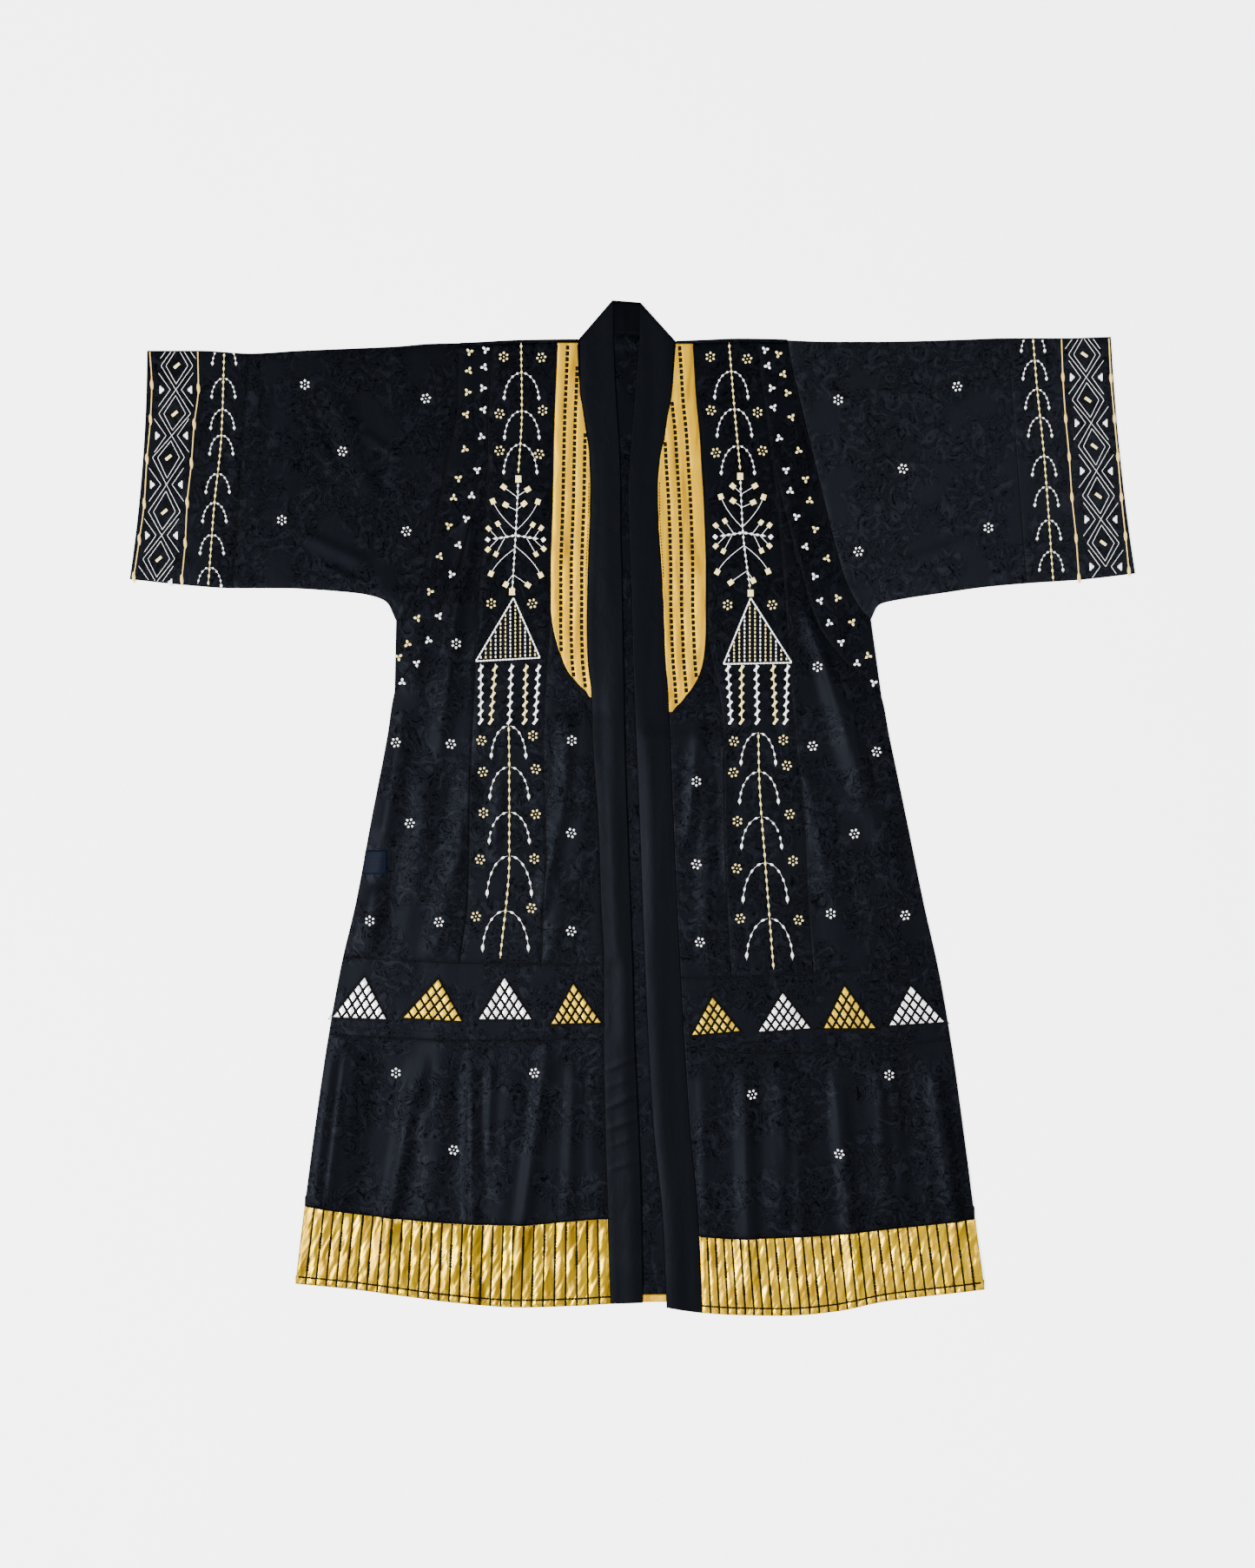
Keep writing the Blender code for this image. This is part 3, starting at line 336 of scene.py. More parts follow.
# Satin triangles: points along a side, cells of the lattice, and the puff of each
TRIANGLE_STEPS = 24
TRIANGLE_CELLS = 6
TRIANGLE_PUFF = {"height": 0.6, "power": 0.35}

TAB_POINTS = 14
TAB_HEM = {"height": 0.25, "at": 0.1, "spread": 0.002}

# Thread and beads
CREAM_WHITE = ("cream", "white")
BEAD_SIDES = 12
BEAD_HEIGHT = 2.0       # beads are half as high as wide, and at most this high
BLOCK_HEIGHT = 1.3
# Threads and cords: their width, how far apart their points are, and their height
CORDS = named(
    "width step height",
    ("palm stem", 0.585, 3.5, 0.351),
    ("palm arm", 0.325, 3.5, 0.195),
    ("tree stem", 0.65, 3.5, 0.39),
    ("tree arm", 0.78, 3.5, 0.468),
    ("branch", 0.715, 3.5, 0.429),
    ("amulet", 1.43, 3.5, 0.858),
    ("tassel", 1.2, 3.5, 0.9),
    ("lozenge", 0.57, 2.5, 0.342),
    ("cuff border", 1.7, 3.0, 1.6),
    ("neck gold", 2.76, 3.0, 2.1),
    ("hem channel", 2.9, 4.0, 1.5),
    ("hem line", 1.6, 4.0, 1.5),
    ("hem top", 2.2, 4.0, 1.5),
    ("lattice", 3.9, 3.0, 1.7),
    ("triangle edge", 2.53, 3.0, 2.2),
    ("triangle ring", 1.0, 4.0, 0.5),
    ("seam", 1.2, 4.0, 0.25),
)
# Running stitches
STITCHES = named(
    "pitch length width height",
    ("neck gold", 8.4, 6.1, 4.7, 1.6),
    ("beside the band", 4.6, 3.0, 1.6, 0.8),
    ("hem channel", 4.6, 3.4, 3.4, 1.8),
    ("hem line", 4.4, 3.6, 2.4, 1.7),
    ("topstitching", 3.6, 2.7, 0.8, 0.45),
)
# Strings of beads. A higher point sharpens the beads' ends.
STRINGS = named(
    "pitch length width point",
    ("tree stem", 8.6, 5.0, 3.3, 1.3),
    ("tree arm", 7.6, 5.6, 3.6, 1.3),
    ("amulet edge", 4.6, 4.4, 2.5, 1.3),
    ("amulet inside", 5.6, 4.0, 2.3, 1.0),
)
CURVE_STEP = 3.0        # spacing of the points of a curved thread
# Share of the outline and of the height, from the foot up
BEAD_PROFILE = ((1.0, -0.15), (0.94, 0.45), (0.66, 0.86), (0.28, 1.0))
BLOCK_PROFILE = ((1.0, -0.15), (0.97, 0.75), (0.75, 1.0))
BLOCK_OUTLINE = ((-1, -1), (0, -1), (1, -1), (1, 0), (1, 1), (0, 1), (-1, 1), (-1, 0))
# Share of the width from the middle and of the height, across a thread
STRAND_PROFILE = ((-0.5, -0.1), (-0.36, 0.7), (0.0, 1.0), (0.36, 0.7), (0.5, -0.1))
ROSETTE = {"beads": 6, "radius": 5.6, "length": 3.8, "width": 3.3}
ROSETTE_CENTRE = 2.1
TREFOIL = {"beads": 3, "radius": 3.3, "length": 5.2, "width": 3.9}
# Turn of the first flower of a kind, and of each more
ROSETTE_TURN = (0.5, 0.7)
TREFOIL_TURN = (0.3, 0.9)

# Stems with drooping arms: the stem's line, each pair of arms with its top, reach and drop, how many
# beads an arm has and how far apart the stem's are
PALMS = {
    "left": (
        {"line": ((-161, 669), (-160, 571), (-165, 482)),
         "arms": ((626, 25, 40), (571, 25, 42), (523, 24, 44)), "beads": 6, "pitch": 9.2},
        {"line": ((-179, 119), (-178, 59), (-178, -69), (-191, -216)),
         "arms": ((118, 25, 48), (59, 28, 48), (-6, 29, 47), (-69, 32, 60), (-148, 33, 60)),
         "beads": 5, "pitch": 12.3},
    ),
    "right": (
        {"line": ((138, 669), (146, 571), (154, 486)),
         "arms": ((628, 24, 41), (574, 25, 42), (521, 24, 43)), "beads": 6, "pitch": 9.2},
        {"line": ((180, 109), (181, 52), (190, -79), (202, -232)),
         "arms": ((108, 25, 48), (52, 28, 48), (-13, 29, 48), (-79, 32, 59), (-159, 33, 60)),
         "beads": 5, "pitch": 12.3},
    ),
}
PALM_BEAD = 3.5         # width of their stem's beads, and of the cuff's
CUFF_BEAD = 3.2
ARM_WIDTH = 0.9         # share of it that the arms' beads have
STEM_FILL = 0.6         # share of the way between them that the beads fill
ARM_FILL = 0.49
ARM_TURN = (0.08, math.pi / 2, 14)      # an arm is this stretch of a quarter turn, in so many points
ARM_LAST = 1.45         # its last bead is this much larger
CUFF_ARM = (17.0, 30.0)
CUFF_PALMS = {
    "left": {"line": ((-588, 656), (-592, 536), (-602, 439), (-611, 319)),
             "arms": [(top, *CUFF_ARM) for top in (666, 618, 573, 536, 481, 439, 393, 346)],
             "beads": 5, "pitch": 9.6},
    "right": {"line": ((575, 676), (581, 602), (591, 506), (604, 327)),
              "arms": [(top, *CUFF_ARM) for top in (684, 644, 602, 562, 506, 462, 414, 369)],
              "beads": 5, "pitch": 9.6},
}
# Squares above and below each tree: where they lie, and their length, width, turn and height
SQUARES = {"left": ((-165, 473), (-174, 311)), "right": ((154, 477), (169, 309))}
SQUARE_SIZE = (10.0, 8.5, math.pi / 2, 1.8)
TREES = {"left": (-169, 392), "right": (158, 396)}
# Branches on both sides of the tree's stem, from its centre: where each leaves the stem, its end and
# how far it bows out
TREE_TIERS = table(
    "start reach rise bow",
    (55, 16, 68, 0),
    (35, 14, 44, 0),
    (8, 31, 50, 8),
    (-17, 37, -56, 9),
    (-56, 16, -70, 1),
)
# Twigs of its two level arms
TREE_TWIGS = table(
    "start reach rise",
    (13, 26, 16), (26, 38, 10), (24, 39, -20), (15, 28, -26),
)
TREE_ARM = (33, -5)
TREE_STEM = (76, -80, 12)               # its top, its foot and its points
TREE_SWAY = 2.0         # its branches and twigs are uneven by up to this much
TWIG_SWAY = 1.5
TREE_SEEDS = {"left": 81, "right": 82}
TREE_SQUARE = 8.2
TWIG_SQUARE = 7.2
SQUARE_SHAPE = 0.88     # width of these squares over their length
SQUARE_HEIGHT = 1.5
# Square at the end of each arm: where it lies, its size and its turn
ARM_SQUARE = {"out": 7, "down": 1, "size": (6.0, 5.4), "turn": math.radians(40)}
AMULETS = {
    "left": ((-172, 302), (-226, 211), (-134, 216)),
    "right": ((169, 302), (130, 207), (228, 209)),
}
AMULET_STRINGS = 13
AMULET_SHORTEST = 7
AMULET_ENDS = ((0, -3), (0, 2))         # its inner strings end this far from its edges
TASSEL_TOP = 207
TASSEL_DROP = 89
TASSEL_BLOCKS = 7
TASSEL_BLOCK = (10.0, 3.5, math.radians(53))
# Where each tassel hangs and how far it leans
TASSELS = {
    "left": ((-219, 0), (-198, -7), (-175, -3), (-154, -2), (-136, -5)),
    "right": ((136, 5), (156, 0), (177, 2), (201, 4), (222, -3)),
}

ROSETTES = {
    "cream_left": (
        (-186, 649), (-132, 648), (-192, 567), (-130, 572), (-192, 514), (-135, 509), (-204, 294),
        (-145, 294), (-218, 97), (-144, 104), (-216, 52), (-140, 56), (-215, -7), (-140, -9),
        (-220, -74), (-142, -73), (-226, -156), (-146, -144),
    ),
    "white_left": (
        (-254, 236), (-341, 94), (-262, 92), (-88, 97), (-321, -22), (-89, -36), (-378, -162),
        (-279, -164), (-89, -177), (-341, -381), (-142, -381), (-258, -492), (-472, 609),
        (-298, 589), (-418, 513), (-505, 414), (-326, 398),
    ),
    "cream_right": (
        (111, 649), (164, 646), (112, 572), (179, 569), (119, 511), (186, 514), (136, 292),
        (200, 292), (145, 96), (216, 98), (144, 51), (221, 61), (150, -19), (225, -9), (149, -87),
        (230, -76), (154, -159), (238, -161),
    ),
    "white_right": (
        (265, 203), (258, 89), (350, 81), (91, 38), (318, -37), (91, -81), (284, -152),
        (391, -154), (96, -193), (368, -384), (171, -412), (296, -497), (295, 587), (466, 606),
        (388, 488), (511, 403), (324, 369),
    ),
}
TREFOILS = {
    "cream_left": (
        (-235, 656), (-236, 629), (-238, 598), (-240, 566), (-242, 516), (-251, 474), (-258, 446),
        (-265, 406), (-278, 362), (-292, 311), (-310, 273), (-324, 236), (-337, 217),
    ),
    "white_left": (
        (-212, 659), (-214, 634), (-216, 604), (-215, 573), (-218, 534), (-224, 486), (-232, 449),
        (-240, 416), (-251, 378), (-261, 336), (-279, 276), (-294, 241), (-311, 208), (-332, 181),
    ),
    "white_right": (
        (190, 659), (194, 636), (199, 604), (202, 576), (210, 532), (220, 486), (226, 456),
        (235, 419), (248, 376), (261, 333), (269, 298), (282, 266), (299, 238), (322, 208),
        (346, 180),
    ),
    "cream_right": (
        (209, 653), (216, 624), (222, 597), (228, 562), (238, 514), (248, 473), (254, 442),
        (262, 401), (279, 359), (294, 302), (315, 267), (338, 219),
    ),
}

# Couched border lines of the cuffs and the lozenges between them
CUFF_LINES = {
    "left": (
        ((-626, 656), (-625, 604), (-631, 552), (-635, 496), (-641, 439), (-644, 381), (-649, 328)),
        ((-695, 656), (-692, 609), (-694, 559), (-699, 502), (-703, 438), (-710, 386), (-718, 332)),
    ),
    "right": (
        ((616, 674), (618, 620), (622, 560), (627, 505), (631, 447), (637, 388), (641, 331)),
        ((684, 675), (687, 618), (692, 560), (697, 505), (702, 447), (708, 391), (713, 341)),
    ),
}
LOZENGES = {
    "left": ((-656, 636), (-659, 567), (-668, 504), (-674, 426), (-682, 358)),
    "right": ((649, 652), (654, 587), (663, 520), (669, 449), (676, 381)),
}
# Half the width of the outer and the inner lozenge, and how far they reach to their neighbours
LOZENGE_SIZES = ((23.0, 1.0), (15.8, 0.76))
LOZENGE_CENTRE = (10.5, 4.0)
LOZENGE_LEAN = {"left": math.radians(40), "right": math.radians(-36)}
CHEVRON = {"tip": 8.0, "end": 25.0, "rise": 24.0}
# Small triangles between the chevrons: blocks at a distance from the middle, with their heights
STEPPED_TRIANGLE = ((18.2, 3.5), (20.2, 7.0), (22.2, 11.0))
STEPPED_WIDTH = 2.1
CUFF_MARGIN = 1.2       # thread stays this far from the cuff's folds
BORDER_KNOT = {"length": 17.0, "width": 5.0, "turn": math.radians(94), "point": 1.3, "height": 2.1}

# Stitches of the neck's gold keep a margin; a fine row runs beside the band between two heights.
# The cords lie outside the edge and beside the band; the one beside the band is partly a cord and partly
# painted shadow between the gold and the band.
GOLD_TOP = 667.0
GOLD_MARGIN = 2.5
BAND_STITCHES = {"away": 2.6, "low": 330, "high": 470}
GOLD_CORD = {"edge": 0.2, "band_seam": 0.6}
HEM_SEEDS = {"left": 71, "right": 72}
HEM_SPAN = (0.015, 0.995, 24)           # a channel's line: its ends as shares, and its points
HEM_FIRST = (0, 16)     # where its running stitch starts, and how many points it takes
HEM_COUNT = (4, 9)
HEM_TOP_LINE = -0.5     # the black line of painted shadow at the upper edge lies this much lower
HEM_LINE_ENDS = (-680.0, -700.0)        # heights where the cross lines' ends are found
HEM_MARGIN = 1.0
# Cords about a triangle, and a black ring of painted shadow farther out: how far out they lie
TRIANGLE_RINGS = (("triangle edge", 1.025), ("triangle ring", 1.16))

# Topstitching beside the seams: from and to which height, and its offset to the middle
TOPSTITCHED = table(
    "seam low high offset",
    ("outer_seam", -225, 655, -3.0),
    ("inner_seam", -225, 655, -3.0),
    ("side", 190, 480, -3.0),
    ("band_seam", -690, 140, -3.0),
    ("armhole", 285, 650, 3.0),
)
TOPSTITCH = {"step": 4.0, "start": 6.0, "margin": 4.0}
TOPSTITCHED_ACROSS = (("band_top", 3.0), ("band_bottom", 11.5), ("band_bottom", -3.0), ("hem_top", 3.0))
SEAMS = table(
    "seam low high",
    ("outer_seam", -222, 664), ("inner_seam", -222, 664), ("band_seam", -700, 664), ("side", 172, 500),
)
SEAM_PATH = {"step": 3.0, "start": 1.0, "margin": 1.0}
ARMHOLE_SEAM = {"above": 2.0, "high": 665.0}
CUFF_SEAM_INSET = 2.0
MIDDLE_OF_BAND = -300.0                 # cross seams start beside the front band, as wide as here
WIDEST = 505.0          # and end at the side edge, at most this far out

# Tones of the cloths. The dark and light tones of the gold and silver satins are painted shade and
# painted highlight.
# The jacquard's dark and ground tones and the bands' two tones are mixed in streaks of painted sheen
JACQUARD_TONES = {"dark": (0.0005, 0.0006, 0.0009), "ground": (0.0009, 0.0011, 0.0017),
                  "petal": (0.0020, 0.0024, 0.0037), "outline": (0.0003, 0.0003, 0.0005)}
JACQUARD_TINT = (0.68, 0.77, 1.0, 1.0)
BAND_TINT = (0.70, 0.79, 1.0, 1.0)
BAND_TONES = ((0.0006, 0.0007, 0.0010), (0.0012, 0.0014, 0.0020))
TAPE_TONES = ((0.0010, 0.0018, 0.0050), (0.0022, 0.0038, 0.0100))
PAPER_TONES = ((0.80, 0.80, 0.80), (0.83, 0.83, 0.83))
GOLD_TONES = ((0.21, 0.108, 0.0), (0.375, 0.207, 0.0), (0.455, 0.275, 0.0))
TRIANGLE_TONES = ((0.25, 0.148, 0.0), (0.44, 0.278, 0.0), (0.58, 0.39, 0.01))
LEFT_HEM_TONES = ((0.11, 0.060, 0.0), (0.23, 0.138, 0.0), (0.38, 0.255, 0.0))
RIGHT_HEM_TONES = ((0.20, 0.11, 0.0), (0.38, 0.23, 0.0), (0.55, 0.36, 0.0))
SILVER_TONES = ((0.50, 0.49, 0.52), (0.72, 0.71, 0.74), (0.93, 0.92, 0.95))
# Contrast sets how sharply the bright satins' painted highlight and shade streaks change
BRIGHT_SATINS = named(
    "name tones roughness contrast creasing metallic tint",
    ("satin_gold", "gold satin", GOLD_TONES, 0.44, 0.9, 0.0012, 0.6, (1.0, 0.75, 0.35)),
    ("triangle_gold", "quilted gold satin", TRIANGLE_TONES, 0.40, 0.9, 0.0012, 0.5, (1.0, 0.80, 0.40)),
    ("hem_left", "crumpled gold satin, left", LEFT_HEM_TONES, 0.31, 0.9, 0.0034, 0.7,
     (1.0, 0.80, 0.40)),
    ("hem_right", "crumpled gold satin, right", RIGHT_HEM_TONES, 0.31, 0.9, 0.0034, 0.7,
     (1.0, 0.80, 0.40)),
    ("satin_silver", "silver satin", SILVER_TONES, 0.34, 1.0, 0.0014, 0.35, (1.0, 1.0, 1.0)),
)
# Creases of the bright satins: their slant, and in metres how wide and long they are
SLANTS = table(
    "degrees width length depth",
    (-22.0, 0.012, 0.090, 0.9), (12.0, 0.010, 0.060, 0.35), (-30.0, 0.006, 0.040, 0.3),
)

# Studio, in metres: the middle and the height of what the camera sees, and the soft lamps
VIEW = {"x": -0.0081, "y": 0.0344, "height": 2.2575}
CAMERA = {"lens": 60.0, "sensor_width": 36.0, "clip_end": 50.0}
FLOOR = {"half": 4.0, "down": 0.0004}
WORLD_STRENGTH = 0.22
LAMPS = table(
    "name place size power",
    ("key", (-2.9, -0.6, 5.8), 2.0, 1300.0),
    ("fill", (3.0, 0.2, 5.7), 2.0, 270.0),
    ("low", (0.3, -4.4, 4.6), 2.4, 200.0),
)

SIDES = ("left", "right")
INWARD = {"left": 1, "right": -1}       # the way along x from a side edge to the middle
GORES = ("side", "outer_seam", "inner_seam", "band_seam")


def lerp(a, b, share):
    return a + (b - a) * share


def smoothstep(value):
    value = np.clip(value, 0.0, 1.0)
    return value * value * (3.0 - 2.0 * value)


def smooth_curve(pairs):
    """Function that runs smoothly through pairs of place and value and never overshoots them."""
    at, level = np.array(sorted(pairs), float).T
    width = np.diff(at)
    steps = np.diff(level) / width
    product = steps[:-1] * steps[1:]
    total = np.where(product > 0, steps[:-1] + steps[1:], 1.0)
    inner = np.where(product > 0, 2 * product / total, 0.0)
    slopes = np.concatenate((steps[:1], inner, steps[-1:]))

    def evaluate(x):
        x = np.clip(x, at[0], at[-1])
        span = np.clip(np.searchsorted(at, x, side="right") - 1, 0, len(width) - 1)
        t = (x - at[span]) / width[span]
        swing = t * (1 - t) * ((1 - t) * slopes[span] - t * slopes[span + 1]) * width[span]
        return lerp(level[span], level[span + 1], smoothstep(t)) + swing

    return evaluate


def curves(rows, key):
    """Smooth curve of each column of a table over one of them."""
    return {name: smooth_curve((row[key], row[name]) for row in rows) for name in rows[0]}


def x_over_y(points):
    """Smooth curve of x over y through points."""
    return smooth_curve((y, x) for x, y in points)


LINE_AT = {side: curves(SECTIONS[side], "y") for side in SIDES}
LEVEL_AT = {side: curves(LEVELS[side], "x") for side in SIDES}
ARMHOLE_AT = {side: curves(ARMHOLES[side], "y")["x"] for side in SIDES}
GOLD_EDGE_AT = {side: curves(NECK_GOLD_EDGES[side], "y")["x"] for side in SIDES}
STATION_AT = {side: curves(SLEEVES[side], "at") for side in SIDES}


def plan(x, y):
    """Points seen from above."""
    return np.stack((x, y), -1)


def side_edge(side, y):
    """The garment's edge below the shoulder: the armhole, then the side seam."""
    last = ARMHOLES[side][-1]
    end = SECTIONS[side][STRIP_END_SECTION]
    between = lerp(last["x"], end["side"], (last["y"] - y) / (last["y"] - end["y"]))
    below = np.where(y >= end["y"], between, LINE_AT[side]["side"](y))
    return np.where(y >= last["y"], ARMHOLE_AT[side](y), below)


def calm(x, y):
    """Share of the relief kept: small inside the flat places, rising to one away from them."""
    factor = 1.0
    for zone in CALM_ZONES:
        across = np.maximum(np.maximum(zone["x_low"] - x, x - zone["x_high"]), 0.0)
        along = np.maximum(np.maximum(zone["y_low"] - y, y - zone["y_high"]), 0.0)
        factor = factor * lerp(zone["kept"], 1.0, smoothstep(np.hypot(across, along) / CALM_FADE))
    return factor


def ridges(rows, x, y):
    """Sum of soft ridges, each along a line."""
    height = np.zeros(np.shape(x))
    for fold in rows:
        along_x = fold["x_bottom"] - fold["x_top"]
        along_y = fold["y_bottom"] - fold["y_top"]
        length = math.hypot(along_x, along_y)
        share = ((x - fold["x_top"]) * along_x + (y - fold["y_top"]) * along_y) / length ** 2
        away = np.abs((x - fold["x_top"]) * along_y - (y - fold["y_top"]) * along_x) / length
        ends = smoothstep(share / FOLD_END) * smoothstep((1 - share) / FOLD_END)
        across = np.cos(np.clip(away / fold["half_width"], 0, 1) * math.pi / 2) ** 2
        height = height + fold["height"] * ends * across
    return height


def wave(name, x, y):
    """Smooth noise between the least and the greatest value of a row of the waves' table."""
    row = WAVES[name]
    lattice = np.random.default_rng(row["seed"]).uniform(0, 1, (WAVE_CELLS, WAVE_CELLS))
    u = x / row["cell_x"]
    v = y / row["cell_y"]
    i = np.floor(u).astype(int)
    j = np.floor(v).astype(int)
    near, far = (lerp(lattice[i % WAVE_CELLS, k % WAVE_CELLS],
                      lattice[(i + 1) % WAVE_CELLS, k % WAVE_CELLS], smoothstep(u - i))
                 for k in (j, j + 1))
    return lerp(row["low"], row["high"], lerp(near, far, smoothstep(v - j)))


def relief(x, y):
    """Height of folds, creases and ripples above the flat cloth."""
    left = side_edge("left", y)
    right = side_edge("right", y)
    body = smoothstep((BODY_TOP - y) / BODY_FADE)
    fan = x * lerp(1.0, FAN_WIDTH / np.where(x < 0, -left, right), body)
    strength = lerp(SLEEVE_DRAPE, 1.0, body) * wave("ripple strength", x, y)
    height = ridges(FOLDS + CREASES, x, y) + strength * sum(wave(name, fan, y) for name in RIPPLES)
    inside = np.where(x < 0, x - left, right - x)
    below = y < np.where(x < 0, ARMHOLES["left"][-1]["y"], ARMHOLES["right"][-1]["y"])
    height = np.where(below, height * smoothstep(inside / SIDE_FADE), height)
    return height * calm(x, y)


def lift(side, x, y):
    """How far the layers inside the hem raise the front."""
    levels = LEVEL_AT[side]
    rise = 0.0
    for upper, lower, (start, length) in (("band_bottom", "hem_top", SKIRT_RISE),
                                          ("hem_top", "hem_bottom", HEM_RISE)):
        share = (levels[upper](x) - y) / (levels[upper](x) - levels[lower](x))
        rise = rise + LAYER * smoothstep((share - start) / length)
    return rise


def front_top(x, y):
    """Height of the upper side of the front or a sleeve."""
    return TOP + np.where(x < 0, lift("left", x, y), lift("right", x, y)) + relief(x, y)


def gold_top(x, y):
    """Height of the upper side of the satin that is laid on the fronts."""
    return front_top(x, y) + GAP + APPLIQUE_WALL


def seam_bottom(x, y):
    """Height of the black line of painted shade in the dip along a seam."""
    return front_top(x, y) - SEAM_DIP * SEAM_LINE_DEPTH


def shares(length, step):
    """Even shares of a length, with closer ones near each end."""
    near = np.array(CLOSE_POINTS)
    inner = length - 2 * near[-1]
    middle = np.linspace(0, 1, max(int(round(inner / step)), 2) + 1)[1:-1] * inner + near[-1]
    return np.concatenate((near, middle, (length - near)[::-1])) / length


def seam_dip(x, y, seams):
    """How far the upper side sinks along the named edges of a grid of points."""
    edges = {"first_row": np.s_[:1], "last_row": np.s_[-1:],
             "first_column": np.s_[:, :1], "last_column": np.s_[:, -1:]}
    dip = np.zeros(x.shape)
    for name in seams:
        away = np.hypot(x - x[edges[name]], y - y[edges[name]])
        dip = np.maximum(dip, np.exp(-(away / SEAM_REACH) ** 2))
    return SEAM_DIP * dip * wave("seam", x, y)


def link(name, points, faces, material, rim=0):
    """Mesh object of points in millimetres, riding on the one body, smooth but for its last faces."""
    data = bpy.data.meshes.new(name)
    data.from_pydata((np.asarray(points, float) * MM).tolist(), [], faces)
    count = len(data.polygons)
    data.polygons.foreach_set("use_smooth", [n < count - rim for n in range(count)])
    data.materials.append(material)
    item = bpy.data.objects.new(name, data)
    bpy.context.scene.collection.objects.link(item)
    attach(item, "root")
    return item


def wall(name, upper, lower, material, closed=False, present=None):
    """Closed wall between two grids of points. A closed one joins its last column to its first."""
    below = upper[..., 0].size
    number = np.arange(below).reshape(upper.shape[:2])
    if closed:
        number = np.hstack((number, number[:, :1]))
    quads = np.stack((number[:-1, :-1], number[:-1, 1:], number[1:, 1:], number[1:, :-1]), -1)
    quads = (quads if present is None else quads[present]).reshape(-1, 4)
    edges = {(q[n], q[(n + 1) % 4]) for q in quads.tolist() for n in range(4)}
    rim = sorted(edge for edge in edges if (edge[1], edge[0]) not in edges)
    faces = quads.tolist() + (quads[:, ::-1] + below).tolist()
    faces += [(b, a, a + below, b + below) for a, b in rim]
    used = sorted({n for face in faces for n in face})
    renumber = {n: m for m, n in enumerate(used)}
    points = np.concatenate((upper.reshape(-1, 3), lower.reshape(-1, 3)))[used]
    item = link(name, points, [tuple(renumber[n] for n in face) for face in faces], material,
                len(rim) if material in CRISP else 0)
    mesh = bmesh.new()
    mesh.from_mesh(item.data)
    bmesh.ops.recalc_face_normals(mesh, faces=mesh.faces[:])
    mesh.to_mesh(item.data)
    mesh.free()
    return item


def declare(node):
    """Hide the solid that a cloth piece stands for."""
    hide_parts(node)


def cloth(node, x, y, under, upper, finish, word="cloth"):
    """Wall of cloth over a grid of places; the solid it stands for is hidden."""
    item = wall("%s_%s" % (node, word), np.dstack((x, y, upper)), np.dstack((x, y, under)),
                FINISHES[finish])
    declare(node)


def panel(node, side, x, y, seams, finish="satin_black",
          thickness=CLOTH, curl=0.0, puff=0.0):
    """Panel of a front on the back, with its folds."""
    node = "%s_%s" % (node, side)
    under = FRONT_BASE + relief(x, y) + lift(side, x, y) + curl
    upper = under + thickness - seam_dip(x, y, seams) + puff
    cloth(node, x, y, under, upper, finish)


def meet(side, first, second, upper, lower, u, v):
    """Places at shares of the way between two lines and between two levels of a front."""
    lines = LINE_AT[side]
    levels = LEVEL_AT[side]
    y = lerp(levels[upper](0.0), levels[lower](0.0), 0.5)
    for _ in range(ROUNDS):
        x = lerp(lines[first](y), lines[second](y), u) + 0.0 * v
        y = lerp(levels[upper](x), levels[lower](x), v)
    return x, y


def patch(side, first, second, upper, lower, start=0.0, step=STEP, across=None):
    """Grid between two lines and two levels of a front, from a share of the way down."""
    top, bottom = (LEVEL_AT[side][level](0.0) for level in (upper, lower))
    if across is None:
        left, right = (LINE_AT[side][line]((top + bottom) / 2) for line in (first, second))
        across = shares(abs(left - right), step)
    v = lerp(start, 1.0, shares(abs(top - bottom) * (1 - start), step))
    return meet(side, first, second, upper, lower, across[None, :], v[:, None])


ALL = ("first_row", "last_row", "first_column", "last_column")
INSIDE = ("first_row", "last_row", "last_column")
PANELS = table(
    "name first second upper lower start seams",
    ("side_panel", "side", "outer_seam", "shoulder", "band_top", FORK_SHARE, ALL),
    ("embroidered", "outer_seam", "inner_seam", "shoulder", "band_top", 0.0, ALL),
    ("front_inner", "inner_seam", "band_seam", "shoulder", "band_top", 0.0, ALL),
    ("triangle_band", "side", "band_seam", "band_top", "band_bottom", 0.0, INSIDE),
    ("skirt", "side", "band_seam", "band_bottom", "hem_top", 0.0, INSIDE),
)


def build_front(side):
    """Panels of one front."""
    for row in PANELS:
        x, y = patch(side, row["first"], row["second"], row["upper"], row["lower"], row["start"])
        panel(row["name"], side, x, y, row["seams"])


def build_strip(side):
    """Curved strip round the armhole, from the shoulder down to the side edge."""
    lines = LINE_AT[side]
    levels = LEVEL_AT[side]
    first, last = ARMHOLES[side][0], ARMHOLES[side][-1]
    top = levels["shoulder"](first["x"])
    t = shares(top - last["y"], STEP)[:, None]
    seam_y = lerp(top, last["y"], t)
    seam_x = ARMHOLE_AT[side](seam_y)
    share = t * STRIP_SHARE
    x = seam_x
    for _ in range(ROUNDS - 1):
        y = lerp(levels["shoulder"](x), levels["band_top"](x), share)
        x = np.where(share < FORK_SHARE, lines["outer_seam"](y), lines["side"](y))
    u = shares(NARROW, STEP)
    panel("armhole_strip", side, lerp(seam_x, x, u), lerp(seam_y, y, u),
          ("first_row", "first_column", "last_column"))


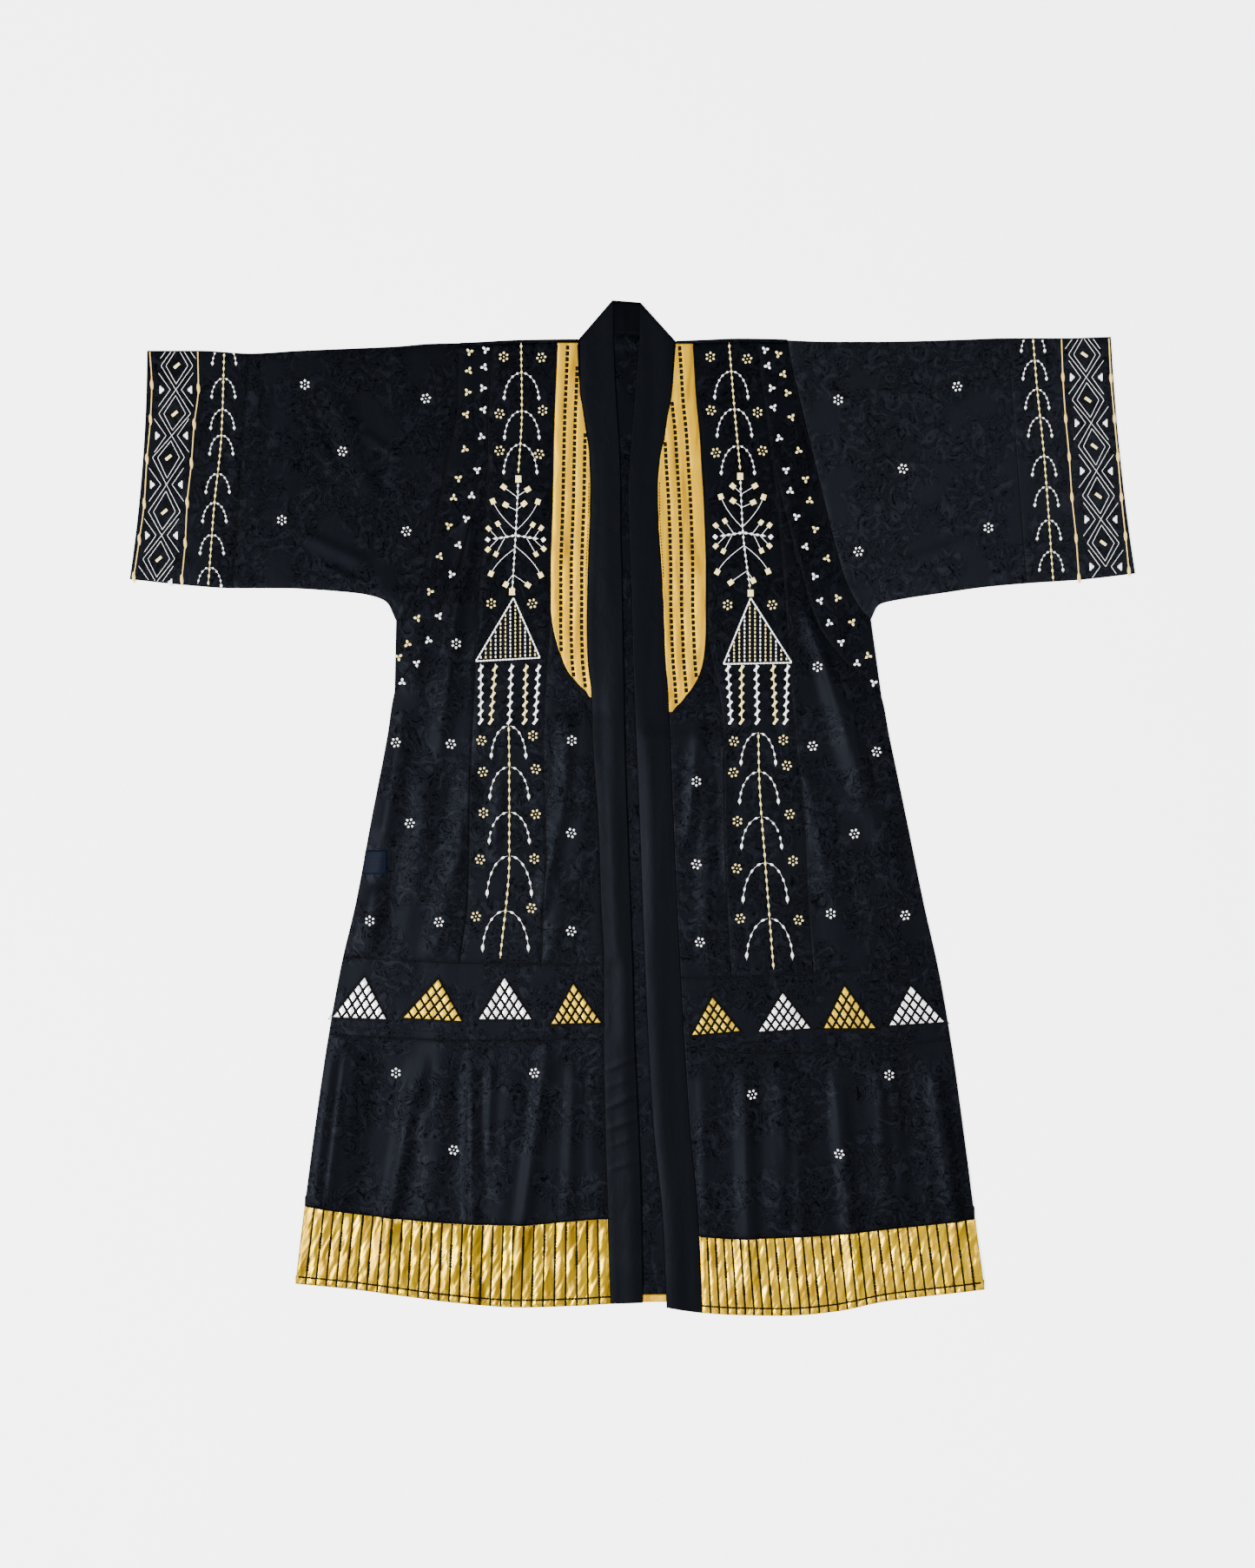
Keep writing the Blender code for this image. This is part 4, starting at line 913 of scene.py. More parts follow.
def build_band(side):
    """Front band of doubled cloth, from the hem over the shoulder corner to the neck."""
    free_edge = LINE_AT[side]["free_edge"]
    u = shares(NARROW, STEP)
    x, y = patch(side, "band_seam", "free_edge", "shoulder", "hem_bottom", step=BAND_STEP, across=u)
    corner, fold_top, free_top = (np.array(COLLARS[side][end])
                                  for end in ("corner", "fold_top", "free_top"))
    share = shares(np.hypot(*(fold_top - corner)), STEP)[::-1, None]
    seam = lerp(corner, fold_top, share)
    free = lerp(np.array((free_edge(y[0, -1]), y[0, -1])), free_top, share)
    x = np.vstack((lerp(seam[:, :1], free[:, :1], u), x[NECK_ROWS:]))
    y = np.vstack((lerp(seam[:, 1:], free[:, 1:], u), y[NECK_ROWS:]))
    away = np.abs(free_edge(y) - x)
    curl = BAND_CURL["height"] * wave("band curl", BAND_CURL["noise_x"], y)
    curl = curl * smoothstep(BAND_CURL["edge_share"] + away / BAND_CURL["crest"])
    curl = curl * smoothstep((BAND_CURL["reach"] - away) / BAND_CURL["fall"])
    curl = curl * smoothstep((BAND_CURL["top"] - y) / BAND_CURL["fade"])
    panel("front_band", side, x, y, ("first_column",), finish="band_black",
          thickness=BAND_WALL, curl=curl)


def hem_grid(side):
    """Points of the gold hem band, and how far across its channel each column lies."""
    parts = []
    phases = []
    for first, second in zip(GORES, GORES[1:]):
        count = HEM_CHANNELS[first] * CHANNEL_POINTS
        columns = np.arange(count + (second == GORES[-1]))
        parts.append(patch(side, first, second, "hem_top", "hem_bottom", step=HEM_STEP,
                           across=columns / count))
        phases.append(columns % CHANNEL_POINTS / CHANNEL_POINTS)
    x, y = (np.hstack(part) for part in zip(*parts))
    return x, y, np.concatenate(phases)


def build_hem_band(side):
    """Gold hem band with its puffed and crumpled channels."""
    x, y, phase = hem_grid(side)
    below = LEVEL_AT[side]["hem_top"](x) - y
    above = y - LEVEL_AT[side]["hem_bottom"](x)
    line = 1.0 - HEM_LINE_DIP["share"] * np.exp(-((above - HEM_LINE) / HEM_LINE_DIP["width"]) ** 2)
    edge = lerp(HEM_EDGE["share"], 1.0, smoothstep(above / HEM_EDGE["width"]))
    channel = np.abs(np.sin(math.pi * phase)) * smoothstep(below / HEM_TOP_FADE) * line * edge
    crumple = HEM_CRUMPLE * wave("hem crumple", x - CRUMPLE_SLANT * y, y)
    lean = HEM_TILT * wave("hem lean", x, y) * (phase - 0.5)
    puff = channel * (HEM_PUFF * wave("hem puff", x, y) + HEM_WORN[side] * (crumple + lean))
    panel("hem_band", side, x, y, ("first_row", "last_column"),
          "hem_" + side, puff=np.maximum(puff, -HEM_SINK))


def gold_guide(side, y):
    """Line beside which the stitch rows of the neck's gold run."""
    low = np.minimum(y, GOLD_STRAIGHT)
    band = LINE_AT[side]["band_seam"]
    return GOLD_EDGE_AT[side](np.maximum(y, GOLD_STRAIGHT)) + band(low) - band(GOLD_STRAIGHT)


def build_neck_gold(side):
    """Gold panel beside the neck, softly puffed between its rows of running stitch."""
    rows = NECK_GOLD_EDGES[side]
    top = LEVEL_AT[side]["shoulder"](GOLD_EDGE_AT[side](rows[0]["y"]))
    y = lerp(top, rows[-1]["y"], shares(top - rows[-1]["y"], GOLD_STEPS["along"]))[:, None]
    seam = LINE_AT[side]["band_seam"](y) - INWARD[side] * GAP
    x = lerp(GOLD_EDGE_AT[side](y), seam, shares(GOLD_STEPS["width"], GOLD_STEPS["across"]))
    y = y + 0.0 * x
    away = (x - gold_guide(side, y)) * INWARD[side]
    nearest = np.min([np.abs(away - offset) for offset in (0.0, *GOLD_ROWS[side])], axis=0)
    nearest = nearest / GOLD_PUFF["reach"]
    puff = GOLD_PUFF["height"] * (1 - np.exp(-nearest ** 2))
    crumple = wave("neck gold crumple", x - GOLD_PUFF["slant"] * y, y) * smoothstep(nearest)
    cloth("neck_gold_" + side, x, y, front_top(x, y) + GAP, gold_top(x, y) + puff + crumple,
          "satin_gold")


def fold_line(centre, outward, r, turn):
    """Points along a sleeve's folded edge at one angle of the fold."""
    height = np.full((len(centre), 1), FOLD_RADIUS + r * math.cos(turn))
    return np.hstack((centre + outward * r * math.sin(turn), height))


def tube(name, side, first, last):
    """Sleeve or cuff, a flattened tube from one station to another."""
    at = STATION_AT[side]
    place = lerp(first, last, shares(abs(at["top_x"](first) - at["top_x"](last)), STEP))
    top = plan(at["top_x"](place), at["top_y"](place))
    bottom = plan(at["bottom_x"](place), at["bottom_y"](place))
    depth = np.hypot(*(bottom - top).T)
    edge = FOLD_RADIUS / depth.mean()
    t = lerp(edge, 1 - edge, shares(depth.mean(), STEP))
    armhole = SLEEVES[side][-1]
    bulge = ARMHOLE_AT[side](lerp(armhole["top_y"], armhole["bottom_y"], t))
    bulge = bulge - lerp(armhole["top_x"], armhole["bottom_x"], t)
    hollow = INWARD[side] * at["hollow"](place)[:, None] * 4 * t * (1 - t)
    x = lerp(top[:, :1], bottom[:, :1], t) + at["bow"](place)[:, None] * bulge + hollow
    y = lerp(top[:, 1:], bottom[:, 1:], t)
    rise = relief(x, y) * smoothstep(t / FOLD_FADE) * smoothstep((1 - t) / FOLD_FADE)
    dip = seam_dip(x, y, ("last_row",) if first == 0 else ("first_row", "last_row"))
    down = (bottom - top) / depth[:, None]
    rings = []
    for over, under, r in ((TOP + rise - dip, 0.0, FOLD_RADIUS), (FRONT_BASE + rise, CLOTH, 0.0)):
        lower = [fold_line(bottom - down * FOLD_RADIUS, down, r, turn) for turn in FOLD_TURNS]
        upper = [fold_line(top + down * FOLD_RADIUS, -down, r, turn) for turn in FOLD_TURNS[::-1]]
        rings.append(np.concatenate((np.dstack((x, y, over)), np.stack(lower, 1),
                                     np.dstack((x, y, under + 0.0 * x))[:, ::-1],
                                     np.stack(upper, 1)), axis=1))
    node = "%s_%s" % (name, side)
    item = wall(node + "_cloth", *rings, FINISHES["sleeve_" + side], closed=True)
    declare(node)


def back_columns():
    """Where the back's columns lie along the shoulders, with one at each end of the neck."""
    stops = (ARMHOLES["left"][0]["x"], *BACK_NECK_ENDS, ARMHOLES["right"][0]["x"])
    parts = [np.linspace(a, b, round((b - a) / BACK_STEP) + 1)[:-1] for a, b in zip(stops, stops[1:])]
    return np.concatenate((*parts, stops[-1:]))


def back_row(left_y, right_y, sag=0.0):
    """Points across the back between two heights of its sides, lower in the middle by the sag."""
    x = back_columns()
    share = (x - x[0]) / (x[-1] - x[0])
    y = lerp(left_y, right_y, share) + sag * (4 * share * (1 - share)) ** 2
    return plan(lerp(side_edge("left", left_y), side_edge("right", right_y), share), y)


def shoulder_fold():
    """Fold along the shoulders and the seam at the back of the neck, and which points are the neck's."""
    x = back_columns()
    first, last = BACK_NECK_ENDS
    shoulder = np.where(x < 0, LEVEL_AT["left"]["shoulder"](x), LEVEL_AT["right"]["shoulder"](x))
    ends = LEVEL_AT["left"]["shoulder"](first), LEVEL_AT["right"]["shoulder"](last)
    across = np.clip((x - first) / (last - first), 0, 1)
    at_neck = lerp(*ends, across) + NECK_RISE * np.sin(math.pi * across)
    neck = (x > first - MM) & (x < last + MM)
    return plan(x, np.where(neck, at_neck, shoulder) + LAP), neck


def at_height(line, z, up=0.0):
    """Points of a line at a height, moved up the garment."""
    return np.hstack((line[:, :1], line[:, 1:] + up, np.full((len(line), 1), z)))


def back_band_edges():
    """Upper edge of the gold band at the back hem, and its fold."""
    return [back_row(row["left"], row["right"], row["sag"]) for row in (BACK_BAND_TOP, BACK_HEM)]


def build_back():
    """Back panel, flat on the surface, rolled over the shoulders and raised over the gold hem."""
    radius = FOLD_RADIUS
    fold, neck = shoulder_fold()
    layers = []
    for z, r in ((TOP, radius), (FRONT_BASE, 0.0)):
        lip = [at_height(fold, z, -LAP), at_height(fold, z, -radius)]
        lip += [at_height(fold, radius + r * math.cos(turn), -radius + r * math.sin(turn))
                for turn in FOLD_TURNS]
        layers.append(lip)
    lip_rows = len(lip)
    rows = [(fold - (0.0, radius), 0.0)]
    tops = [LEVEL_AT[side]["shoulder"](ARMHOLES[side][0]["x"]) for side in SIDES]
    ends = [ARMHOLES[side][-1]["y"] for side in SIDES]
    ramp = [BACK_BAND_TOP[side] + HEM_RAMP for side in SIDES]
    for upper, lower, count, sag in ((tops, ends, BACK_ROWS["armhole"], 0.0),
                                     (ends, ramp, BACK_ROWS["side"], BACK_BAND_TOP["sag"])):
        for share in np.linspace(0, 1, count)[1:]:
            left, right = (lerp(a, b, share) for a, b in zip(upper, lower))
            rows.append((back_row(left, right, sag * share ** 4), 0.0))
    band_top, hem = back_band_edges()
    for share in (0.25, 0.5, 0.75):
        line = band_top + (0.0, lerp(HEM_RAMP, BACK_OVERLAP, share))
        rows.append((line, FRONT_BASE * float(smoothstep(share))))
    for share in np.linspace(0, 1, BACK_ROWS["hem"]):
        line = lerp(band_top + (0.0, BACK_OVERLAP), hem + (0.0, BACK_EDGE), share)
        rows.append((line, FRONT_BASE))
    outer, inner = (np.stack(lip + [at_height(line, z + thickness) for line, z in rows])
                    for lip, thickness in zip(layers, (0.0, CLOTH)))
    present = np.ones((len(outer) - 1, len(fold) - 1), bool)
    present[:lip_rows - 1] = ~(neck[:-1] & neck[1:])
    item = wall("back_panel_cloth", outer, inner, FINISHES["satin_black"], present=present)
    declare("back_panel")


def build_back_hem():
    """Gold band under the back hem, turned up round its edge and laid on the inside."""
    top, hem = back_band_edges()
    height = 3 * CLOTH + 2 * GAP
    radius = height / 2
    layers = []
    for z, r in ((0.0, radius), (CLOTH, radius - CLOTH)):
        rows = [at_height(lerp(top, hem, share), z)
                for share in np.linspace(0, 0.95, BACK_ROWS["band"])]
        rows.append(at_height(hem, z, radius))
        rows += [at_height(hem, radius + r * math.cos(turn), radius - r * math.sin(turn))
                 for turn in FOLD_TURNS[::-1]]
        for up in np.linspace(radius, HEM_TURNUP, BACK_ROWS["turned"]):
            row = at_height(hem, height - z, up)
            if z == 0.0:
                row[:, 2] += wave("turned-up hem", *row[:, :2].T) * math.sin(math.pi * up / HEM_TURNUP)
            rows.append(row)
        layers.append(np.stack(rows))
    item = wall("back_hem_band_cloth", *layers, FINISHES["satin_gold"])
    declare("back_hem_band")


def build_collar_back():
    """Part of the neck band that runs behind the neck, between the front bands' folds."""
    fold, neck = shoulder_fold()
    seam = fold[neck] + (0.0, GAP - FOLD_RADIUS)
    left, right = np.array(COLLAR_BACK_TOP)
    top = lerp(left, right, np.linspace(0, 1, len(seam))[:, None])
    rows = [lerp(seam, top, share) for share in np.linspace(0, 1, BACK_ROWS["collar"])]
    x, y = np.moveaxis(rows, -1, 0)
    sag = wave("collar sag", x, y)
    # Its duller satin is painted shade inside the neck
    cloth("collar_back", x, y, 0.0 * sag, CLOTH + sag, "collar")


def corners(row):
    """Apex and base ends of a satin triangle."""
    return [np.array((row[end + "_x"], row[end + "_y"]), float) for end in ("apex", "start", "end")]


def build_triangle(row):
    """Quilted satin triangle, its lattice pressed into the puffed cloth."""
    apex, start, end = corners(row)
    steps = TRIANGLE_STEPS
    first = [i * (i + 1) // 2 for i in range(steps + 2)]
    a, b = np.array([(j, i - j) for i in range(steps + 1) for j in range(i + 1)]).T / steps
    places = apex + (end - apex) * a[:, None] + (start - apex) * b[:, None]
    cells = np.abs(np.sin(math.pi * TRIANGLE_CELLS * a) * np.sin(math.pi * TRIANGLE_CELLS * b))
    puff = TRIANGLE_PUFF["height"] * cells ** TRIANGLE_PUFF["power"]
    puff[first[steps]:] = 0.0
    under = front_top(*places.T) + GAP
    points = np.vstack((np.column_stack((places, under + APPLIQUE_WALL + puff)),
                        np.column_stack((places, under))))
    count = len(places)
    faces = []
    for i in range(steps):
        for j in range(i + 1):
            a, b, c = first[i] + j, first[i + 1] + j, first[i + 1] + j + 1
            faces.append((a, b, c))
            faces.append((a + count, c + count, b + count))
            if j < i:
                faces.append((a, c, a + 1))
                faces.append((a + count, a + 1 + count, c + count))
    rim = [first[i] for i in range(steps + 1)] + [first[steps] + j for j in range(1, steps + 1)]
    rim += [first[i] + i for i in range(steps - 1, 0, -1)]
    faces += [(b, a, a + count, b + count) for a, b in zip(rim, rim[1:] + rim[:1])]
    node = "triangle_%s_%d" % (row["side"], row["number"])
    finish = FINISHES["triangle_gold" if row["satin"] == "gold" else "satin_silver"]
    item = link(node + "_satin", points, faces, finish, len(rim))
    item.data.materials.append(THREADS["black"])
    edge = [n >= len(faces) - len(rim) for n in range(len(faces))]
    item.data.polygons.foreach_set("material_index", edge)
    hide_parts(node)


def build_label():
    """Small tab sewn in at the left side seam, bare."""
    first, second, third, fourth = np.array(LABEL_CORNERS, float)
    u = np.linspace(0, 1, TAB_POINTS)[None, :, None]
    v = np.linspace(0, 1, TAB_POINTS)[:, None, None]
    x, y = np.moveaxis(lerp(lerp(first, second, u), lerp(fourth, third, u), v), -1, 0)
    inside = np.minimum(np.minimum(u, 1 - u), np.minimum(v, 1 - v))[..., 0]
    hem = TAB_HEM["height"] * np.exp(-(inside - TAB_HEM["at"]) ** 2 / TAB_HEM["spread"])
    under = front_top(x, y) + GAP
    cloth("side_label", x, y, under, under + LABEL_WALL - hem, "label_navy",
          "tape")


def run(path):
    """Distance along a path at each of its points."""
    return np.concatenate(((0.0,), np.cumsum(np.hypot(*np.diff(path, axis=0).T))))


def resample(path, step):
    """Points at even steps along a path."""
    path = np.asarray(path, float)
    gone = run(path)
    places = np.linspace(0, gone[-1], max(int(math.ceil(gone[-1] / step)), 1) + 1)
    return plan(np.interp(places, gone, path[:, 0]), np.interp(places, gone, path[:, 1]))


def curved(points):
    """Smooth path through points that run down the garment."""
    top = points[0][1]
    bottom = points[-1][1]
    y = np.linspace(top, bottom, max(int(abs(top - bottom) / CURVE_STEP), 2))
    return plan(x_over_y(points)(y), y)


def anywhere(x, y):
    """Test for a place that lets any place pass."""
    return True


class Threadwork:
    """Beads and threads of one colour, gathered into one mesh that lies on a surface."""

    def __init__(self, name, colour, surface=front_top, inside=anywhere):
        self.name = name
        self.material = THREADS[colour]
        self.surface = surface
        self.inside = inside
        self.points = []
        self.faces = []

    def mound(self, outline, x, y, turn, height, profile):
        """Solid mound on an outline, closed on top."""
        if not self.inside(x, y):
            return
        first = len(self.points)
        size = len(outline)
        c, s = math.cos(turn), math.sin(turn)
        for share, up in profile:
            self.points += [(x + (a * c - b * s) * share, y + (a * s + b * c) * share, up * height)
                            for a, b in outline]
        top = first + (len(profile) - 1) * size
        for ring in range(first, top, size):
            for n in range(size):
                a = ring + n
                b = ring + (n + 1) % size
                self.faces.append((a, b, b + size, a + size))
        self.faces.append(tuple(range(top, top + size)))

    def bead(self, x, y, length, width, turn=0.0, point=1.0, height=None):
        """Oval bead, its length turned from the x axis. A higher point sharpens its ends."""
        outline = []
        for n in range(BEAD_SIDES):
            angle = 2 * math.pi * n / BEAD_SIDES
            b = math.copysign(abs(math.sin(angle)) ** point, math.sin(angle))
            outline.append((math.cos(angle) * length / 2, b * width / 2))
        self.mound(outline, x, y, turn, height or min(width / 2, BEAD_HEIGHT), BEAD_PROFILE)

    def block(self, x, y, length, width, turn=0.0, height=BLOCK_HEIGHT):
        """Block of satin stitch with straight sides."""
        outline = [(a * length / 2, b * width / 2) for a, b in BLOCK_OUTLINE]
        self.mound(outline, x, y, turn, height, BLOCK_PROFILE)

    def flower(self, x, y, turn, beads, radius, length, width):
        """Ring of round beads."""
        for n in range(beads):
            angle = turn + n * 2 * math.pi / beads
            self.bead(x + radius * math.cos(angle), y + radius * math.sin(angle), length, width, angle)

    def strand(self, path, kind):
        """Thread along a path of points, of the size in the table of cords."""
        cord = CORDS[kind]
        path = resample(path, cord["step"])
        path = path[[bool(self.inside(*place)) for place in path]]
        if len(path) < 2:
            return
        ahead = np.gradient(path, axis=0)
        ahead /= np.maximum(np.hypot(*ahead.T), 1e-6)[:, None]
        across = plan(-ahead[:, 1], ahead[:, 0]) * cord["width"]
        first = len(self.points)
        for p, q in zip(path, across):
            self.points += [(*(p + q * a), b * cord["height"]) for a, b in STRAND_PROFILE]
        size = len(STRAND_PROFILE)
        end = first + (len(path) - 1) * size
        for ring in range(first, end, size):
            for a in range(ring, ring + size - 1):
                self.faces.append((a, a + size, a + size + 1, a + 1))
        self.faces.append(tuple(range(first, first + size)))
        self.faces.append(tuple(range(end, end + size))[::-1])

    def string(self, path, pitch, length, width, last=1.0, point=1.3):
        """Beads along a path, the last one larger."""
        path = resample(path, 1.0)
        gone = run(path)
        count = max(int(round(gone[-1] / pitch)), 1)
        for n in range(count):
            place = (n + 0.5) * gone[-1] / count
            before, x, after = np.interp((place - 1, place, place + 1), gone, path[:, 0])
            below, y, above = np.interp((place - 1, place, place + 1), gone, path[:, 1])
            grown = last if n == count - 1 else 1.0
            self.bead(x, y, length * grown, width * grown, math.atan2(above - below, after - before),
                      point)

    def dashes(self, path, kind):
        """Running stitch along a path, of the size in the table of stitches."""
        stitch = STITCHES[kind]
        path = resample(path, stitch["pitch"])
        for a, b in zip(path, path[1:]):
            turn = math.atan2(b[1] - a[1], b[0] - a[0])
            self.block(*(a + b) / 2, stitch["length"], stitch["width"], turn, stitch["height"])

    def build(self):
        """Make the mesh on its surface."""
        points = np.array(self.points)
        points[:, 2] += self.surface(points[:, 0], points[:, 1])
        link(self.name, points, self.faces, self.material)


def palm(cream, white, row, width):
    """Beaded stem with pairs of drooping arms."""
    line = curved(row["line"])
    cream.strand(line, "palm stem")
    cream.string(line, row["pitch"], row["pitch"] * STEM_FILL, width)
    through = x_over_y(row["line"])
    turn = np.linspace(*ARM_TURN)
    for top, reach, drop in row["arms"]:
        for way in (-1, 1):
            path = plan(float(through(top)) + way * reach * np.sin(turn), top - drop * (1 - np.cos(turn)))
            white.strand(path, "palm arm")
            pitch = run(path)[-1] / row["beads"]
            white.string(path, pitch, pitch * ARM_FILL, width * ARM_WIDTH, ARM_LAST)


def tree(cream, white, side):
    """Branching tree with a square at the end of each branch."""
    centre = np.array(TREES[side])
    top, bottom = SQUARES[side]
    steady = np.random.default_rng(TREE_SEEDS[side])
    stem = x_over_y((top, centre, bottom))

    def on_stem(up):
        return np.array((float(stem(centre[1] + up)), centre[1] + up))

    line = [on_stem(up) for up in np.linspace(*TREE_STEM)]
    white.strand(line, "tree stem")
    white.string(line, **STRINGS["tree stem"])
    for way in (-1, 1):
        for row in TREE_TIERS:
            start = on_stem(row["start"] + steady.uniform(-TREE_SWAY, TREE_SWAY))
            sway = steady.uniform(-TREE_SWAY, TREE_SWAY, 2)
            end = centre + (way * row["reach"], row["rise"]) + sway
            middle = (start + end) / 2 + (way * row["bow"], 0)
            branch(cream, white, start, middle, end, TREE_SQUARE)
        end = centre + (way * TREE_ARM[0], TREE_ARM[1])
        white.strand([centre, end], "tree arm")
        white.string([centre, end], **STRINGS["tree arm"])
        white.block(end[0] + way * ARM_SQUARE["out"], end[1] - ARM_SQUARE["down"],
                    *ARM_SQUARE["size"], ARM_SQUARE["turn"] * way)
        for row in TREE_TWIGS:
            start = centre + (way * row["start"], TREE_ARM[1] * row["start"] / TREE_ARM[0])
            sway = steady.uniform(-TWIG_SWAY, TWIG_SWAY, 2)
            end = centre + (way * row["reach"], row["rise"]) + sway
            branch(cream, white, start, (start + end) / 2, end, TWIG_SQUARE)


def branch(cream, white, start, middle, end, size):
    """Thin thread bent towards a middle point, with a square at its end."""
    t = np.linspace(0, 1, 9)[:, None]
    white.strand((1 - t) ** 2 * start + 2 * t * (1 - t) * middle + t ** 2 * end, "branch")
    turn = math.atan2(end[1] - middle[1], end[0] - middle[0])
    cream.block(*end, size, size * SQUARE_SHAPE, turn, SQUARE_HEIGHT)


def amulet(cream, white, ends, tassels):
    """Triangle of bead strings with tassels below it."""
    apex, start, end = np.array(ends, float)
    for a, b in ((apex, start), (apex, end), (start, end)):
        white.strand([a, b], "amulet")
        white.string([a, b], **STRINGS["amulet edge"])
    for n in range(1, AMULET_STRINGS):
        foot = lerp(start, end, n / AMULET_STRINGS)
        slope = start if foot[0] < apex[0] else end
        head = lerp(slope, apex, (foot[0] - slope[0]) / (apex[0] - slope[0]))
        if head[1] - foot[1] > AMULET_SHORTEST:
            work = white if n % 3 == 1 else cream
            work.string([head, foot] + np.array(AMULET_ENDS), **STRINGS["amulet inside"])
    middles = (np.arange(TASSEL_BLOCKS) + 0.5) / TASSEL_BLOCKS
    for n, (x, lean) in enumerate(tassels):
        work = cream if n % 2 else white
        places = plan(x + lean * middles, TASSEL_TOP - middles * TASSEL_DROP)
        work.strand([(x, TASSEL_TOP), *places], "tassel")
        for place in places:
            work.block(*place, *TASSEL_BLOCK)


def lozenges(cream, white, side):
    """Chain of double lozenges, with chevrons and small triangles at both sides between them."""
    middles = [np.array(centre, float) for centre in LOZENGES[side]]
    ends = [2 * middles[0] - middles[1], *middles, 2 * middles[-1] - middles[-2]]
    for above, middle, below in zip(ends, middles, ends[2:]):
        for half, share in LOZENGE_SIZES:
            top = lerp(middle, (above + middle) / 2, share)
            foot = lerp(middle, (below + middle) / 2, share)
            for corner in (middle + (half, 0), middle - (half, 0)):
                white.strand([top, corner, foot], "lozenge")
        cream.block(*middle, *LOZENGE_CENTRE, LOZENGE_LEAN[side])
    for upper, lower in zip(ends, ends[1:]):
        crossing = (upper + lower) / 2
        for way in (-1, 1):
            for tall in (-CHEVRON["rise"], CHEVRON["rise"]):
                white.strand([crossing + (way * CHEVRON["tip"], 0.0),
                              crossing + (way * CHEVRON["end"], tall)], "lozenge")
            for away, tall in STEPPED_TRIANGLE:
                white.block(crossing[0] + way * away, crossing[1], STEPPED_WIDTH, tall)


def on_cuff(side):
    """Test for a place between the folds of the cuff."""
    rows = SLEEVES[side][:CUFF_SEAM + 1]
    top, bottom = (smooth_curve((row[edge + "_x"], row[edge + "_y"]) for row in rows)
                   for edge in ("top", "bottom"))
    return lambda x, y: bottom(x) + CUFF_MARGIN < y < top(x) - CUFF_MARGIN


def build_embroidery(side):
    """All thread and beads of one front and sleeve."""
    cream, white = (Threadwork("embroidery_%s_%s" % (colour, side), colour) for colour in CREAM_WHITE)
    for row in PALMS[side]:
        palm(cream, white, row, PALM_BEAD)
    for x, y in SQUARES[side]:
        cream.block(x, y, *SQUARE_SIZE)
    tree(cream, white, side)
    amulet(cream, white, AMULETS[side], TASSELS[side])
    for colour, work in zip(CREAM_WHITE, (cream, white)):
        for n, (x, y) in enumerate(ROSETTES[colour + "_" + side]):
            work.flower(x, y, ROSETTE_TURN[0] + ROSETTE_TURN[1] * n, **ROSETTE)
            work.bead(x, y, ROSETTE_CENTRE, ROSETTE_CENTRE)
        for n, (x, y) in enumerate(TREFOILS[colour + "_" + side]):
            work.flower(x, y, TREFOIL_TURN[0] + TREFOIL_TURN[1] * n, **TREFOIL)
        work.build()
    inside = on_cuff(side)
    cream, white = (Threadwork("cuff_%s_%s" % (colour, side), colour, inside=inside)
                    for colour in CREAM_WHITE)
    cords = Threadwork("cuff_cords_" + side, "sand", inside=inside)
    palm(cream, white, CUFF_PALMS[side], CUFF_BEAD)
    lozenges(cream, white, side)
    for points in CUFF_LINES[side]:
        cords.strand(curved(points), "cuff border")
        for x, y in points[1:]:
            cords.bead(x, y, **BORDER_KNOT)
    for work in (cream, white, cords):
        work.build()


def within(side, x, y, margin):
    """Path of those places that lie inside the side edge by a margin."""
    return plan(x, y)[np.abs(x) < np.abs(LINE_AT[side]["side"](y)) - margin]


def along_seam(side, step, seam, low, high, offset=0.0):
    """Path beside a lengthwise seam or the armhole, between two heights."""
    y = np.arange(low, high, step)
    line = ARMHOLE_AT[side] if seam == "armhole" else LINE_AT[side][seam]
    return plan(line(y) + INWARD[side] * offset, y)


def across_seam(side, seam, step, start, margin, offset=0.0):
    """Path beside a cross seam, from beside the front band to the side edge."""
    middle = abs(float(LINE_AT[side]["band_seam"](MIDDLE_OF_BAND)))
    x = np.arange(middle + start, WIDEST, step) * -INWARD[side]
    return within(side, x, LEVEL_AT[side][seam](x) + offset, margin)


def build_gold_stitches(side):
    """Black running stitch and corded outline of the neck's gold, the outline beside the band partly
    painted shadow.
    """
    work = Threadwork("gold_stitches_" + side, "black", gold_top)
    cord = Threadwork("gold_outline_" + side, "black")
    way = INWARD[side]
    y = np.arange(NECK_GOLD_EDGES[side][-1]["y"] + 1.0, GOLD_TOP, 2.0)
    edge = GOLD_EDGE_AT[side](y)
    seam = LINE_AT[side]["band_seam"](y)
    for offset in GOLD_ROWS[side]:
        x = gold_guide(side, y) + way * offset
        inside = ((x - edge) * way > GOLD_MARGIN) & ((seam - x) * way > GOLD_MARGIN)
        work.dashes(plan(x, y)[inside], "neck gold")
    beside = (y > BAND_STITCHES["low"]) & (y < BAND_STITCHES["high"])
    work.dashes(plan(seam - way * BAND_STITCHES["away"], y)[beside], "beside the band")
    for line, out in ((edge, GOLD_CORD["edge"]), (seam, GOLD_CORD["band_seam"])):
        cord.strand(plan(line - way * out, y), "neck gold")
    work.build()
    cord.build()


